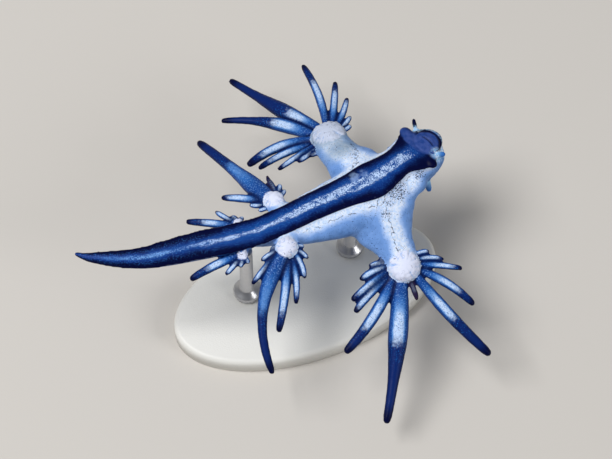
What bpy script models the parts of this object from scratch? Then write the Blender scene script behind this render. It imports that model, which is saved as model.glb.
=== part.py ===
"""Blue dragon sea slug (Glaucus atlanticus), life size, as it drifts foot upwards, on a plain display stand.

Sizes are in millimetres, and MM turns them into Blender's metres. The origin is the centre of the
stand's underside, +Z is up and the head points towards +X and +Y. The animal lies on its back, so its
left side is towards -Y. Every part of the trunk is one loft along a curved centre line, parted by thin
cuts. Each arm ends in a domed pad, and its cerata fan out from under the pad's rim.
"""

import math
import random
from collections import namedtuple

import bmesh
import bpy
from mathutils import Matrix, Vector

MM = 0.001
GAP = 0.3
SEED = 7
SHARP_ANGLE = 50

# Trunk
FOOT_HEIGHT = 12.2
CROWN = 0.16
LIP_HEIGHT = 0.14
LIP_OVERHANG = 0.12
THIN_LIP = 0.3
SLIM_FLANK = 0.98
FOOT_CREST = 0.55
WAIST_SHARE = 0.42
RING_SPACING = 0.9
FLANK_STEPS = 4

# near is the half width of the flank on the side of the photo's viewer, where it bulges between the arms
Station = namedtuple("Station", "x y rise foot flank near depth roll")
STATIONS = (
    Station(-19.95, -1.87, -0.90, 0.16, 0.12, 0.12, 0.30, 22),
    Station(-18.95, -2.22, -0.85, 0.38, 0.32, 0.32, 0.65, 22),
    Station(-17.90, -2.36, -0.78, 0.57, 0.48, 0.48, 0.95, 22),
    Station(-16.25, -2.52, -0.68, 0.77, 0.64, 0.64, 1.25, 22),
    Station(-14.00, -2.49, -0.54, 0.99, 0.85, 0.85, 1.60, 20),
    Station(-11.80, -2.02, -0.40, 1.17, 1.02, 1.02, 1.90, 18),
    Station(-9.40, -1.44, -0.25, 1.28, 1.12, 1.12, 2.10, 17),
    Station(-7.50, -1.03, -0.15, 1.31, 1.10, 1.10, 2.15, 15),
    Station(-5.70, -0.62, -0.08, 1.31, 0.98, 0.98, 2.15, 15),
    Station(-3.90, -0.02, 0.00, 1.31, 1.12, 1.20, 2.40, 10),
    Station(-1.85, 1.05, 0.00, 1.32, 1.35, 2.10, 2.75, 5),
    Station(1.00, 2.62, 0.00, 1.42, 2.05, 3.05, 3.20, 0),
    Station(3.57, 3.92, 0.00, 1.56, 2.45, 3.60, 3.50, 0),
    Station(5.60, 4.95, 0.00, 1.92, 2.60, 2.90, 3.45, 0),
    Station(6.95, 5.95, 0.00, 1.70, 2.25, 2.40, 3.25, 0),
    Station(8.15, 6.98, -0.03, 1.50, 2.12, 2.12, 3.20, 0),
    Station(9.20, 7.75, -0.08, 1.95, 2.32, 2.32, 3.15, 0),
    Station(9.75, 8.22, -0.12, 2.22, 2.38, 2.38, 3.05, 0),
    Station(10.25, 8.72, -0.12, 1.85, 2.30, 2.30, 2.95, 0),
    Station(10.90, 9.36, -0.20, 1.45, 2.08, 2.08, 2.60, 0),
    Station(11.38, 9.80, -0.38, 1.10, 1.70, 1.70, 2.10, 0),
    Station(11.66, 10.04, -0.65, 0.80, 1.20, 1.20, 1.50, 0),
    Station(11.80, 10.16, -0.95, 0.35, 0.60, 0.60, 0.85, 0),
)
TRUNK_PARTS = (
    ("tail_tip", 0.0, 5.0),
    ("tail_base", 5.0, 11.0),
    ("hind_body", 11.0, 16.5),
    ("mid_body", 16.5, 22.0),
    ("fore_body", 22.0, 29.0),
    ("neck", 29.0, 31.2),
    ("head", 31.2, 40.0),
)
HEAD_START = 30.4
HEAD_RING_SPACING = 0.4

# Head
MOUTH_DISTANCE = 33.6
MOUTH_ACROSS = -0.15
MOUTH_RADII = (0.78, 0.95, 0.5)
MOUTH_DEPTH = 0.25
MOUTH_TILT = 12
LIP_RING = (0.52, 0.16)
LIP_LIFT = 0.78
MOUTH_LINE = (0.14, 0.6, 0.36)
SLIT_LIFT = 0.12
MOUTH_SIDES = 18
MOUTH_RINGS = 10

Feeler = namedtuple("Feeler", "name distance across below turn drop length radius")
FEELERS = (
    Feeler("oral_tentacle_left", 33.55, -1.62, 0.28, -76, -50, 0.42, 0.27),
    Feeler("oral_tentacle_right", 34.08, 1.60, 0.60, 54, -14, 0.85, 0.20),
    Feeler("rhinophore_left", 32.00, -2.05, 2.10, -112, 31, 0.50, 0.30),
    Feeler("rhinophore_right", 32.00, 2.05, 2.10, 112, 31, 0.50, 0.30),
)
# Corners of the foot's front edge, as x, y, rise, turn and radii
LOBES = (
    (10.95, 6.98, -0.24, 41, (0.50, 0.72, 0.30)),
    (8.88, 10.02, -0.30, 41, (0.55, 0.66, 0.34)),
)
FEELER_SUNK = -0.8
FEELER_ROOT = 0.55
ROOT_SHARES = (1.25, 1.15, 1.05, 1.0)
TIP_SHARES = (0.95, 0.85, 0.66, 0.3)

# Arms: each has a stalk of (x, y, rise, half width, half depth), then its pad's way out, droop and
# radius, its cerata as bearings at the pad's rim and of their own, and the parts of its fan
Ceras = namedtuple("Ceras", "rim heading length radius bend")
Arm = namedtuple("Arm", "name stalk shoulder out droop pad_radius cerata fans")

FRONT_LEFT = Arm(
    "front_left",
    (
        (6.10, 4.60, -1.75, 4.00, 1.50),
        (6.45, 2.40, -2.05, 3.00, 1.45),
        (6.93, 0.60, -2.60, 2.42, 1.20),
        (7.85, -0.50, -2.95, 1.78, 1.05),
        (8.52, -1.82, -3.27, 1.45, 0.95),
    ),
    3.0, -81, 25, 1.40,
    (
        Ceras(129, 98, 1.47, 0.25, 0.0),
        Ceras(111, 82, 2.42, 0.27, 0.0),
        Ceras(89, 77, 3.91, 0.31, 0.0),
        Ceras(69, 50, 5.79, 0.43, 0.02),
        Ceras(46, 35, 9.54, 0.54, -0.045),
        Ceras(17, 12, 1.90, 0.25, 0.0),
        Ceras(-21, -14, 12.50, 0.88, 0.038),
        Ceras(-51, -41, 7.87, 0.54, 0.07),
        Ceras(-68, -51, 4.64, 0.43, 0.0),
        Ceras(-84, -59, 4.26, 0.41, 0.04),
        Ceras(-99, -72, 2.81, 0.38, 0.0),
        Ceras(-112, -88, 1.83, 0.30, 0.0),
        Ceras(-126, -95, 1.04, 0.25, 0.0),
    ),
    (("fore", 30, 180), ("outer", -31, 30), ("hind", -180, -31)),
)
FRONT_RIGHT = Arm(
    "front_right",
    (
        (5.30, 5.40, -1.75, 2.90, 1.50),
        (4.35, 7.60, -1.95, 2.45, 1.35),
        (3.30, 8.90, -2.40, 1.86, 1.15),
        (2.60, 10.10, -2.85, 1.72, 1.05),
        (2.12, 11.32, -3.28, 1.60, 0.95),
    ),
    3.1, 118.6, 18, 1.60,
    (
        Ceras(84, 77, 1.00, 0.25, 0.0),
        Ceras(68, 57, 2.00, 0.27, 0.0),
        Ceras(52, 42, 4.20, 0.33, 0.0),
        Ceras(35, 31, 6.30, 0.38, 0.0),
        Ceras(17, 14, 9.50, 0.41, 0.035),
        Ceras(-6, -17.5, 12.10, 0.77, -0.035),
        Ceras(-40, -40, 9.40, 0.66, 0.085),
        Ceras(-62, -85, 6.40, 0.50, 0.08),
        Ceras(-77, -89, 5.60, 0.37, 0.05),
        Ceras(-92, -101, 4.30, 0.31, 0.0),
        Ceras(-106, -103, 2.40, 0.29, 0.0),
        Ceras(-119, -98, 1.25, 0.25, 0.0),
    ),
    (("fore", 5, 180), ("outer", -52, 5), ("hind", -180, -52)),
)
MID_LEFT = Arm(
    "mid_left",
    ((-1.30, 0.90, -1.30, 1.50, 1.00), (-1.50, -0.20, -1.00, 1.20, 0.80), (-1.68, -1.40, -0.62, 0.92, 0.60)),
    None, -84, 25, 0.92,
    (
        Ceras(94, 80, 0.75, 0.25, 0.0),
        Ceras(72, 47, 1.32, 0.25, 0.0),
        Ceras(49, 16, 2.40, 0.30, 0.0),
        Ceras(24, 0, 4.20, 0.33, 0.0),
        Ceras(-1, -12, 6.55, 0.43, 0.0),
        Ceras(-30, -10, 10.20, 0.72, -0.085),
        Ceras(-56, -46, 3.55, 0.31, 0.0),
        Ceras(-78, -61, 1.70, 0.25, 0.0),
        Ceras(-100, -66, 0.70, 0.25, 0.0),
    ),
    (("fore", 1, 181), ("hind", -179, 1)),
)
MID_RIGHT = Arm(
    "mid_right",
    ((-1.90, 1.20, -1.30, 1.50, 1.00), (-2.30, 2.20, -1.05, 1.20, 0.80), (-2.73, 3.28, -0.85, 0.92, 0.60)),
    None, 138.7, 20, 0.92,
    (
        Ceras(88, 72, 0.75, 0.25, 0.0),
        Ceras(68, 51, 1.35, 0.25, 0.0),
        Ceras(49, 29, 2.25, 0.25, 0.0),
        Ceras(32, 19, 2.50, 0.25, 0.0),
        Ceras(-2, 10, 11.15, 0.86, 0.035),
        Ceras(-27, -23, 4.35, 0.39, 0.04),
        Ceras(-54, -28, 1.55, 0.25, 0.0),
        Ceras(-80, -50, 0.85, 0.25, 0.0),
    ),
    (("fore", -14, 166), ("hind", -194, -14)),
)
REAR_LEFT = Arm(
    "rear_left",
    ((-5.50, -0.50, -1.10, 0.80, 0.60), (-5.48, -1.10, -1.12, 0.65, 0.50), (-5.45, -1.85, -1.15, 0.50, 0.42)),
    None, -101, 20, 0.50,
    (
        Ceras(55, 20, 0.50, 0.25, 0.0),
        Ceras(10, -14, 0.70, 0.25, 0.0),
        Ceras(-28, -31, 1.85, 0.26, 0.0),
        Ceras(-68, -53, 4.60, 0.42, 0.0),
    ),
    (("", -180, 180),),
)
REAR_RIGHT = Arm(
    "rear_right",
    ((-5.50, -0.60, -1.10, 0.80, 0.60), (-5.65, 0.30, -1.10, 0.65, 0.50), (-5.85, 1.12, -1.08, 0.50, 0.42)),
    None, 120.5, 15, 0.50,
    (
        Ceras(56, 30, 0.50, 0.25, 0.0),
        Ceras(12, -12, 0.80, 0.25, 0.0),
        Ceras(-26, -18, 2.35, 0.26, 0.0),
        Ceras(-64, -47, 4.35, 0.38, 0.05),
    ),
    (("", -180, 180),),
)
ARMS = (FRONT_LEFT, FRONT_RIGHT, MID_LEFT, MID_RIGHT, REAR_LEFT, REAR_RIGHT)
PAD_FLATNESS = 0.7
PAD_LIFT = 0.18
WRIST_REACH = 0.62
ROOT_REACH = 0.5
RIM_REACH = 0.92
STALK_SIDES = 14
STALK_SPACING = 1.1
STOUT_CERAS = 0.6
SHORT_CERAS = 3.0
CERAS_ROOT = 0.7
CERAS_LIFTS = (-0.1, 0.05)
THICK_CERAS = 0.5
LONG_PROFILE = (
    (0.0, 0.72),
    (0.16, 0.9),
    (0.34, 1.0),
    (0.44, 0.96),
    (0.54, 0.8),
    (0.7, 0.58),
    (0.86, 0.48),
    (0.96, 0.42),
    (1.0, 0.25),
)
LEAF_PROFILE = (
    (0.0, 0.95),
    (0.12, 1.0),
    (0.25, 0.95),
    (0.4, 0.76),
    (0.55, 0.62),
    (0.7, 0.55),
    (0.86, 0.5),
    (0.96, 0.42),
    (1.0, 0.25),
)
MIDDLE_PROFILE = (
    (0.0, 0.72),
    (0.16, 0.88),
    (0.34, 1.0),
    (0.52, 0.98),
    (0.7, 0.9),
    (0.86, 0.8),
    (0.96, 0.66),
    (1.0, 0.35),
)
SHORT_PROFILE = ((0.0, 0.85), (0.4, 1.0), (0.8, 0.92), (1.0, 0.5))

# Stand
BASE_RADII = (12.5, 6.5)
BASE_TURN = 22
BASE_HEIGHT = 1.6
BASE_BEVEL = 0.35
ROD_RADIUS = 0.6
ROD_SIDES = 16
FERRULE = (1.25, 0.5)
ROD_DISTANCES = (15.0, 25.4)

Section = namedtuple("Section", "place ahead side up foot flank near depth")
UP = Vector((0, 0, 1))


def spline(rows, index, share):
    """Catmull-Rom values between rows[index] and the next row."""
    last = len(rows) - 1
    a, b, c, d = (rows[min(max(index + k, 0), last)] for k in (-1, 0, 1, 2))
    s, s2, s3 = share, share * share, share**3
    return [
        0.5 * (2 * q + (r - p) * s + (2 * p - 5 * q + 4 * r - t) * s2 + (3 * q - p - 3 * r + t) * s3)
        for p, q, r, t in zip(a, b, c, d)
    ]


class Path:
    """A smooth curve through rows of x, y and rise above the foot, with sizes that change along it."""

    def __init__(self, rows, per_row=12):
        fine = [spline(rows, i, k / per_row) for i in range(len(rows) - 1) for k in range(per_row)]
        fine.append(list(rows[-1]))
        self.places = [Vector((x, y, FOOT_HEIGHT + rise)) for x, y, rise, *_ in fine]
        self.sizes = [row[3:] for row in fine]
        self.distances = [0.0]
        for before, after in zip(self.places, self.places[1:]):
            self.distances.append(self.distances[-1] + (after - before).length)
        self.length = self.distances[-1]

    def at(self, distance):
        """The place, direction and sizes at a distance from the first row."""
        distance = min(max(distance, 0.0), self.length)
        last = len(self.places) - 1
        i = next((k for k in range(1, last) if self.distances[k] >= distance), last)
        share = (distance - self.distances[i - 1]) / (self.distances[i] - self.distances[i - 1])
        place = self.places[i - 1].lerp(self.places[i], share)
        ahead = (self.places[min(i + 3, last)] - self.places[max(i - 4, 0)]).normalized()
        return place, ahead, [a + (b - a) * share for a, b in zip(self.sizes[i - 1], self.sizes[i])]


TRUNK = Path(STATIONS)


def section_at(distance):
    """The trunk's frame and sizes at a distance from the tail's tip, rolled foot towards -Y."""
    place, ahead, (foot, flank, near, depth, roll) = TRUNK.at(distance)
    level = UP.cross(ahead).normalized()
    above = ahead.cross(level)
    c, s = math.cos(math.radians(roll)), math.sin(math.radians(roll))
    return Section(place, ahead, level * c + above * s, above * c - level * s, foot, flank, near, depth)


def half_outline(section, flank, growth):
    """Half of the trunk's outline as across and height: from the foot's crest over the lip to the back."""
    foot, flank, depth = section.foot + growth, flank + growth, section.depth + growth
    lip = min(LIP_HEIGHT, THIN_LIP * section.depth) - growth
    inner = min(foot - min(LIP_OVERHANG, THIN_LIP * section.foot), flank * SLIM_FLANK)
    waist = max(WAIST_SHARE * section.depth, lip)
    start = math.acos(inner / flank)
    half = [(foot * a, CROWN * (1 - a * a) + growth) for a in (FOOT_CREST, 1.0)]
    half.append((inner, -lip))
    for step in range(1, FLANK_STEPS + 1):
        angle = start - (start + math.pi / 2) * step / (FLANK_STEPS + 0.6)
        reach = (waist - lip) / math.sin(start) if angle > 0 else depth - waist
        half.append((flank * math.cos(angle), reach * math.sin(angle) - waist))
    return half


def trunk_ring(distance, growth=0.0):
    """The trunk's outline square to its centre line: crowned foot, thin lip, rounded flank and back."""
    s = section_at(distance)
    far = half_outline(s, s.flank, growth)
    near = half_outline(s, s.near, growth)
    outline = [(0.0, CROWN + growth)] + far + [(0.0, -s.depth - growth)]
    outline += [(-across, height) for across, height in reversed(near)]
    return [s.place + s.side * across + s.up * height for across, height in outline]


def loft(name, rings):
    """A closed mesh object through rings of equal numbers of points, with flat ends."""
    bm = bmesh.new()
    loops = [[bm.verts.new(p * MM) for p in ring] for ring in rings]
    count = len(rings[0])
    for near, far in zip(loops, loops[1:]):
        for k in range(count):
            bm.faces.new((near[k], near[k - 1], far[k - 1], far[k]))
    bm.faces.new(loops[0])
    bm.faces.new(loops[-1])
    return finished(name, bm)


def finished(name, bm):
    """Makes an object of a bmesh, with its faces pointing out."""
    bmesh.ops.recalc_face_normals(bm, faces=bm.faces)
    mesh = bpy.data.meshes.new(name)
    bm.to_mesh(mesh)
    bm.free()
    obj = bpy.data.objects.new(name, mesh)
    bpy.context.scene.collection.objects.link(obj)
    return obj


def ellipsoid(name, place, radii, turn, segments=14, rings=9):
    """A closed ellipsoid with its axes along the columns of turn."""
    bm = bmesh.new()
    bmesh.ops.create_uvsphere(bm, u_segments=segments, v_segments=rings, radius=1.0)
    matrix = Matrix.Translation(place * MM) @ turn.to_4x4() @ Matrix.Diagonal([r * MM for r in radii] + [1])
    bmesh.ops.transform(bm, matrix=matrix, verts=bm.verts)
    return finished(name, bm)


def tube(name, points, radii, resolution):
    """A round tapered tube along points, as a bevelled curve made into a closed mesh."""
    curve = bpy.data.curves.new(name, "CURVE")
    curve.dimensions = "3D"
    curve.bevel_depth = MM
    curve.bevel_resolution = resolution
    curve.use_fill_caps = True
    line = curve.splines.new("POLY")
    line.points.add(len(points) - 1)
    for spot, place, radius in zip(line.points, points, radii):
        spot.co = (*(place * MM), 1)
        spot.radius = radius
    guide = bpy.data.objects.new(name, curve)
    bpy.context.scene.collection.objects.link(guide)
    bm = bmesh.new()
    bm.from_mesh(evaluated_mesh(guide))
    bmesh.ops.remove_doubles(bm, verts=bm.verts, dist=0.01 * MM)
    bpy.data.objects.remove(guide)
    return finished(name, bm)


def evaluated_mesh(obj):
    """A new mesh of the object with its modifiers applied."""
    bpy.context.view_layer.update()
    graph = bpy.context.evaluated_depsgraph_get()
    return bpy.data.meshes.new_from_object(obj.evaluated_get(graph), depsgraph=graph)


def combine(obj, others, operation="UNION"):
    """Applies one Boolean with all the other objects to obj, and removes them."""
    group = bpy.data.collections.new("pieces")
    bpy.context.scene.collection.children.link(group)
    for other in others:
        bpy.context.scene.collection.objects.unlink(other)
        group.objects.link(other)
    joining = obj.modifiers.new("join", "BOOLEAN")
    joining.operand_type = "COLLECTION"
    joining.collection = group
    joining.operation = operation
    joining.solver = "EXACT"
    mesh = evaluated_mesh(obj)
    obj.modifiers.remove(joining)
    obj.data = mesh
    for other in others:
        bpy.data.objects.remove(other)
    bpy.data.collections.remove(group)
    return obj


def slice_off(bm, place, normal):
    """Cuts away what lies on the normal's side of a plane and closes the cut."""
    bmesh.ops.bisect_plane(
        bm,
        geom=bm.verts[:] + bm.edges[:] + bm.faces[:],
        dist=1e-8,
        plane_co=place * MM,
        plane_no=normal,
        clear_outer=True,
    )
    bmesh.ops.holes_fill(bm, edges=[e for e in bm.edges if e.is_boundary], sides=0)


def keep_largest(bm):
    """Leaves only the connected surface with the largest volume."""
    left, pieces = set(bm.verts), []
    while left:
        todo, piece = [left.pop()], set()
        while todo:
            vert = todo.pop()
            piece.add(vert)
            near = {e.other_vert(vert) for e in vert.link_edges} & left
            left -= near
            todo.extend(near)
        pieces.append(piece)
    pieces.sort(key=span_of)
    bmesh.ops.delete(bm, geom=[v for piece in pieces[:-1] for v in piece], context="VERTS")


def span_of(piece):
    """The volume of the box round a set of vertices."""
    corners = [[f(v.co[k] for v in piece) for f in (min, max)] for k in range(3)]
    return math.prod(high - low for low, high in corners)


def duplicate(obj):
    """A second object with the same mesh."""
    twin = bpy.data.objects.new(obj.name, obj.data)
    bpy.context.scene.collection.objects.link(twin)
    return twin


def parted(obj, name, planes):
    """The part of obj that lies on the inner side of every (place, normal), as a new object in its stead."""
    bm = bmesh.new()
    bm.from_mesh(obj.data)
    for place, normal in planes:
        slice_off(bm, place, normal)
    keep_largest(bm)
    bpy.data.objects.remove(obj)
    return finished(name, bm)


class Fan:
    """The frame of one arm: its stalk, its pad, the ways out and towards the head, and its up side."""

    def __init__(self, arm):
        level = Vector((math.cos(math.radians(arm.out)), math.sin(math.radians(arm.out)), 0))
        droop = math.radians(arm.droop)
        self.arm = arm
        self.stalk = Path(arm.stalk)
        self.pad = self.stalk.places[-1]
        self.out = level * math.cos(droop) - UP * math.sin(droop)
        across = UP.cross(level)
        self.ahead = across if across.x > 0 else -across
        normal = self.out.cross(self.ahead)
        self.up = normal if normal.z > 0 else -normal
        self.turn = Matrix((self.out, self.ahead, self.up)).transposed()
        self.wrist = self.pad - self.out * WRIST_REACH * arm.pad_radius

    def way(self, bearing):
        """The direction in the fan at a bearing in degrees, positive towards the head."""
        angle = math.radians(bearing)
        return self.out * math.cos(angle) + self.ahead * math.sin(angle)

    def stalk_piece(self, name, start, end=None):
        """An oval loft along the stalk with rings square to the way out, up to the wrist without an end."""
        wrist = end is None
        end = self.stalk.length if wrist else end
        steps = max(2, round((end - start) / STALK_SPACING))
        rings = []
        for step in range(steps + 1):
            place, (half_width, half_depth) = self.stalk.at(start + (end - start) * step / steps)[::2]
            rings.append(
                [
                    place + self.ahead * half_width * math.cos(a) + self.up * half_depth * math.sin(a)
                    for a in circle(STALK_SIDES)
                ]
            )
        stalk = loft(name, rings)
        if wrist:
            stalk = parted(stalk, name, [(self.wrist - self.out * GAP, self.out)])
        return stalk

    def ceras(self, ceras, rng):
        """One ceras: it leaves the pad under its rim, swells, then tapers to a blunt tip."""
        lift = self.up * rng.uniform(*CERAS_LIFTS)
        root = self.pad + self.way(ceras.rim) * self.arm.pad_radius * ROOT_REACH + lift
        rim = self.pad + self.way(ceras.rim) * self.arm.pad_radius * RIM_REACH + lift
        tip = rim + self.way(ceras.heading) * ceras.length
        leaving = self.way(0.5 * (ceras.heading + ceras.rim)) * 0.5
        bow = self.way(ceras.heading + 90) * ceras.bend * 2
        middle = rim + (leaving + bow) * ceras.length
        points, radii = [root], [ceras.radius * CERAS_ROOT]
        profile = MIDDLE_PROFILE
        if ceras.radius > STOUT_CERAS:
            profile = LONG_PROFILE if self.arm.shoulder else LEAF_PROFILE
        if ceras.length < SHORT_CERAS:
            profile = SHORT_PROFILE
        for t, share in profile:
            points.append(rim * (1 - t) ** 2 + middle * 2 * t * (1 - t) + tip * t * t)
            radii.append(ceras.radius * share)
        return tube("ceras", points, radii, 3 if ceras.radius > THICK_CERAS else 2)

    def cluster(self, rng):
        """The pad with its cerata, as one piece for each part of the fan."""
        radius = self.arm.pad_radius
        tubes = [(c.rim, self.ceras(c, rng)) for c in self.arm.cerata]
        pieces = []
        for label, low, high in self.arm.fans:
            place = self.pad + self.up * PAD_LIFT * radius
            pad = ellipsoid("pad", place, (radius, radius, radius * PAD_FLATNESS), self.turn, segments=16)
            combine(pad, [t for rim, t in tubes if low < rim < high])
            planes = [(self.wrist, -self.out)]
            if label:
                planes.append((self.pad + self.way(low + 90) * GAP / 2, self.way(low - 90)))
                planes.append((self.pad + self.way(high - 90) * GAP / 2, self.way(high + 90)))
            if not self.arm.shoulder:
                combine(pad, [grown_trunk()], "DIFFERENCE")
            name = "_".join(filter(None, ("cerata", self.arm.name, label)))
            pieces.append(parted(pad, name, planes))
        return pieces


FANS = [Fan(arm) for arm in ARMS]


def circle(sides):
    """Angles once round a circle."""
    return [2 * math.pi * k / sides for k in range(sides)]


def trunk_distances():
    """Distances of the trunk's rings, closer together on the head."""
    body_steps = round(HEAD_START / RING_SPACING)
    head_steps = round((TRUNK.length - HEAD_START) / HEAD_RING_SPACING)
    body = [HEAD_START * k / body_steps for k in range(body_steps)]
    return body + [HEAD_START + (TRUNK.length - HEAD_START) * k / head_steps for k in range(head_steps + 1)]


def grown_trunk():
    """The trunk with a gap's width added all round, to cut its neighbours clear of it."""
    return loft("clearance", [trunk_ring(distance, GAP) for distance in trunk_distances()])


def build_trunk():
    """The whole trunk with its shoulders, feeler roots and front corners of the foot, in one piece."""
    trunk = loft("trunk", [trunk_ring(distance) for distance in trunk_distances()])
    pieces = [fan.stalk_piece("shoulder", 0.0, fan.arm.shoulder) for fan in FANS]
    pieces += [feeler_tube(f, FEELER_SUNK, FEELER_ROOT - GAP, ROOT_SHARES) for f in FEELERS]
    for x, y, rise, turn, radii in LOBES:
        level = Matrix.Rotation(math.radians(turn), 3, "Z")
        pieces.append(ellipsoid("lobe", Vector((x, y, FOOT_HEIGHT + rise)), radii, level))
    return combine(trunk, pieces)


def frame_of(section):
    """A rotation whose columns are ahead, across and up at a section of the trunk."""
    return Matrix((section.ahead, section.side, section.up)).transposed()


def feeler_tube(feeler, start, end, shares):
    """A stretch of a feeler between two distances from its place in the head, with shares of its radius."""
    s = section_at(feeler.distance)
    level = Matrix.Rotation(math.radians(feeler.turn), 3, "Z") @ s.ahead
    drop = math.radians(feeler.drop)
    way = level.normalized() * math.cos(drop) - UP * math.sin(drop)
    root = s.place + s.side * feeler.across - UP * feeler.below
    last = len(shares) - 1
    points = [root + way * (start + (end - start) * k / last) for k in range(last + 1)]
    return tube("feeler", points, [feeler.radius * share for share in shares], 2)


def build_mouth(head):
    """The head with a socket, and the mouth's bulb in it with its round lips and slit."""
    s = section_at(MOUTH_DISTANCE)
    tilt = Matrix.Rotation(math.radians(MOUTH_TILT), 3, s.side) @ frame_of(s)
    place = s.place + s.side * MOUTH_ACROSS - UP * MOUTH_DEPTH
    wider = [radius + GAP for radius in MOUTH_RADII]
    socket = ellipsoid("socket", place, wider, tilt, MOUTH_SIDES, MOUTH_RINGS)
    head = parted(combine(head, [socket], "DIFFERENCE"), "head", [])
    mouth = ellipsoid("mouth", place, MOUTH_RADII, tilt, MOUTH_SIDES, MOUTH_RINGS)
    top = place + tilt.col[2] * MOUTH_RADII[2] * LIP_LIFT
    combine(mouth, [build_lips(top, tilt)])
    slit = ellipsoid("slit", top + tilt.col[2] * SLIT_LIFT, MOUTH_LINE, tilt, 10, 6)
    return head, combine(mouth, [slit], "DIFFERENCE")


def build_lips(top, tilt):
    """A round lip spun about the mouth's own upright axis."""
    ring, thickness = LIP_RING
    bm = bmesh.new()
    bmesh.ops.create_circle(bm, segments=8, radius=thickness * MM)
    turn = Matrix.Translation((ring * MM, 0, 0)) @ Matrix.Rotation(math.pi / 2, 4, "X")
    bmesh.ops.transform(bm, matrix=turn, verts=bm.verts)
    bmesh.ops.spin(
        bm,
        geom=bm.verts[:] + bm.edges[:],
        cent=(0, 0, 0),
        axis=(0, 0, 1),
        angle=2 * math.pi,
        steps=MOUTH_SIDES,
        use_merge=True,
    )
    bmesh.ops.transform(bm, matrix=Matrix.Translation(top * MM) @ tilt.to_4x4(), verts=bm.verts)
    return finished("lips", bm)


def build_stand():
    """A flat oval base and two short rods with ferrules, up to the animal's back."""
    bm = bmesh.new()
    bmesh.ops.create_cone(
        bm, cap_ends=True, segments=56, radius1=MM, radius2=MM, depth=BASE_HEIGHT * MM
    )
    lift = Matrix.Translation((0, 0, BASE_HEIGHT / 2 * MM))
    turn = Matrix.Rotation(math.radians(BASE_TURN), 4, "Z")
    bmesh.ops.transform(bm, matrix=lift @ turn @ Matrix.Diagonal((*BASE_RADII, 1, 1)), verts=bm.verts)
    top = [e for e in bm.edges if all(v.co.z > BASE_HEIGHT / 2 * MM for v in e.verts)]
    bmesh.ops.bevel(
        bm, geom=top, offset=BASE_BEVEL * MM, segments=2, profile=0.5, affect="EDGES", material=-1
    )
    nodes = [finished("stand_base", bm)]
    for label, distance in zip(("rear", "front"), ROD_DISTANCES):
        s = section_at(distance)
        foot, head = BASE_HEIGHT + GAP, s.place.z - s.depth - 2 * GAP
        ferrule, step = FERRULE
        profile = ((ferrule, foot), (ferrule, foot + step), (ROD_RADIUS, foot + 2 * step), (ROD_RADIUS, head))
        rings = [
            [Vector((s.place.x + r * math.cos(a), s.place.y + r * math.sin(a), z)) for a in circle(ROD_SIDES)]
            for r, z in profile
        ]
        nodes.append(loft(f"stand_rod_{label}", rings))
    return nodes


def material(name, colour, roughness, metallic=0.0):
    """A plain Principled material."""
    made = bpy.data.materials.new(name)
    made.use_nodes = True
    shader = made.node_tree.nodes["Principled BSDF"]
    shader.inputs["Base Color"].default_value = (*colour, 1)
    shader.inputs["Roughness"].default_value = roughness
    shader.inputs["Metallic"].default_value = metallic
    return made


def part_trunk():
    """The trunk's nodes, parted from tail to head by thin cuts, with the mouth in the last one."""
    trunk = build_trunk()
    nodes = []
    for name, start, end in TRUNK_PARTS:
        near, far = section_at(start), section_at(end)
        planes = []
        if start > 0:
            planes.append((near.place + near.ahead * GAP / 2, -near.ahead))
        if end < TRUNK.length:
            planes.append((far.place - far.ahead * GAP / 2, far.ahead))
        nodes.append(parted(duplicate(trunk), name, planes))
    bpy.data.objects.remove(trunk)
    return nodes[:-1] + list(build_mouth(nodes[-1]))


def build_feelers():
    """The oral tentacles and rhinophores, each past its root on the head."""
    nodes = []
    for feeler in FEELERS:
        made = feeler_tube(feeler, FEELER_ROOT, FEELER_ROOT + feeler.length, TIP_SHARES)
        made.name = feeler.name
        nodes.append(made)
    return nodes


def build_arms():
    """The stalks of the front arms, between their shoulders and wrists and clear of the flanks."""
    arms = []
    for fan in FANS:
        if fan.arm.shoulder:
            name = f"arm_{fan.arm.name}"
            arm = combine(fan.stalk_piece(name, fan.arm.shoulder + GAP), [grown_trunk()], "DIFFERENCE")
            arms.append(parted(arm, name, []))
    return arms


def main():
    for obj in list(bpy.data.objects):
        bpy.data.objects.remove(obj)
    rng = random.Random(SEED)
    foot_blue = material("foot_blue", (0.01, 0.03, 0.22), 0.35)
    pale_skin = material("pale_skin", (0.45, 0.62, 0.9), 0.4)
    ceras_blue = material("ceras_blue", (0.03, 0.14, 0.5), 0.35)
    base_white = material("base_white", (0.8, 0.79, 0.76), 0.4)
    rod_steel = material("rod_steel", (0.6, 0.6, 0.62), 0.3, 1.0)
    nodes = [(node, foot_blue if node.name.startswith("tail") else pale_skin) for node in part_trunk()]
    nodes += [(node, ceras_blue) for node in build_feelers()]
    nodes += [(node, pale_skin) for node in build_arms()]
    nodes += [(node, ceras_blue) for fan in FANS for node in fan.cluster(rng)]
    base, *rods = build_stand()
    nodes += [(base, base_white)] + [(rod, rod_steel) for rod in rods]
    shown = bpy.data.collections.new("blue_dragon_sea_slug")
    bpy.context.scene.collection.children.link(shown)
    for node, skin in nodes:
        node.data.materials.clear()
        node.data.materials.append(skin)
        bpy.context.scene.collection.objects.unlink(node)
        shown.objects.link(node)
        node.data.shade_smooth()
        node.data.set_sharp_from_angle(angle=math.radians(SHARP_ANGLE))


main()
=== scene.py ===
"""Looks of the blue dragon sea slug: one skin over the solids, its stand, and the stage round it."""

import math
import random
from collections import namedtuple

import bmesh
import bpy
import numpy as np
from bpy.props import FloatProperty, FloatVectorProperty, PointerProperty
from mathutils import Matrix, Vector, kdtree, noise


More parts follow.
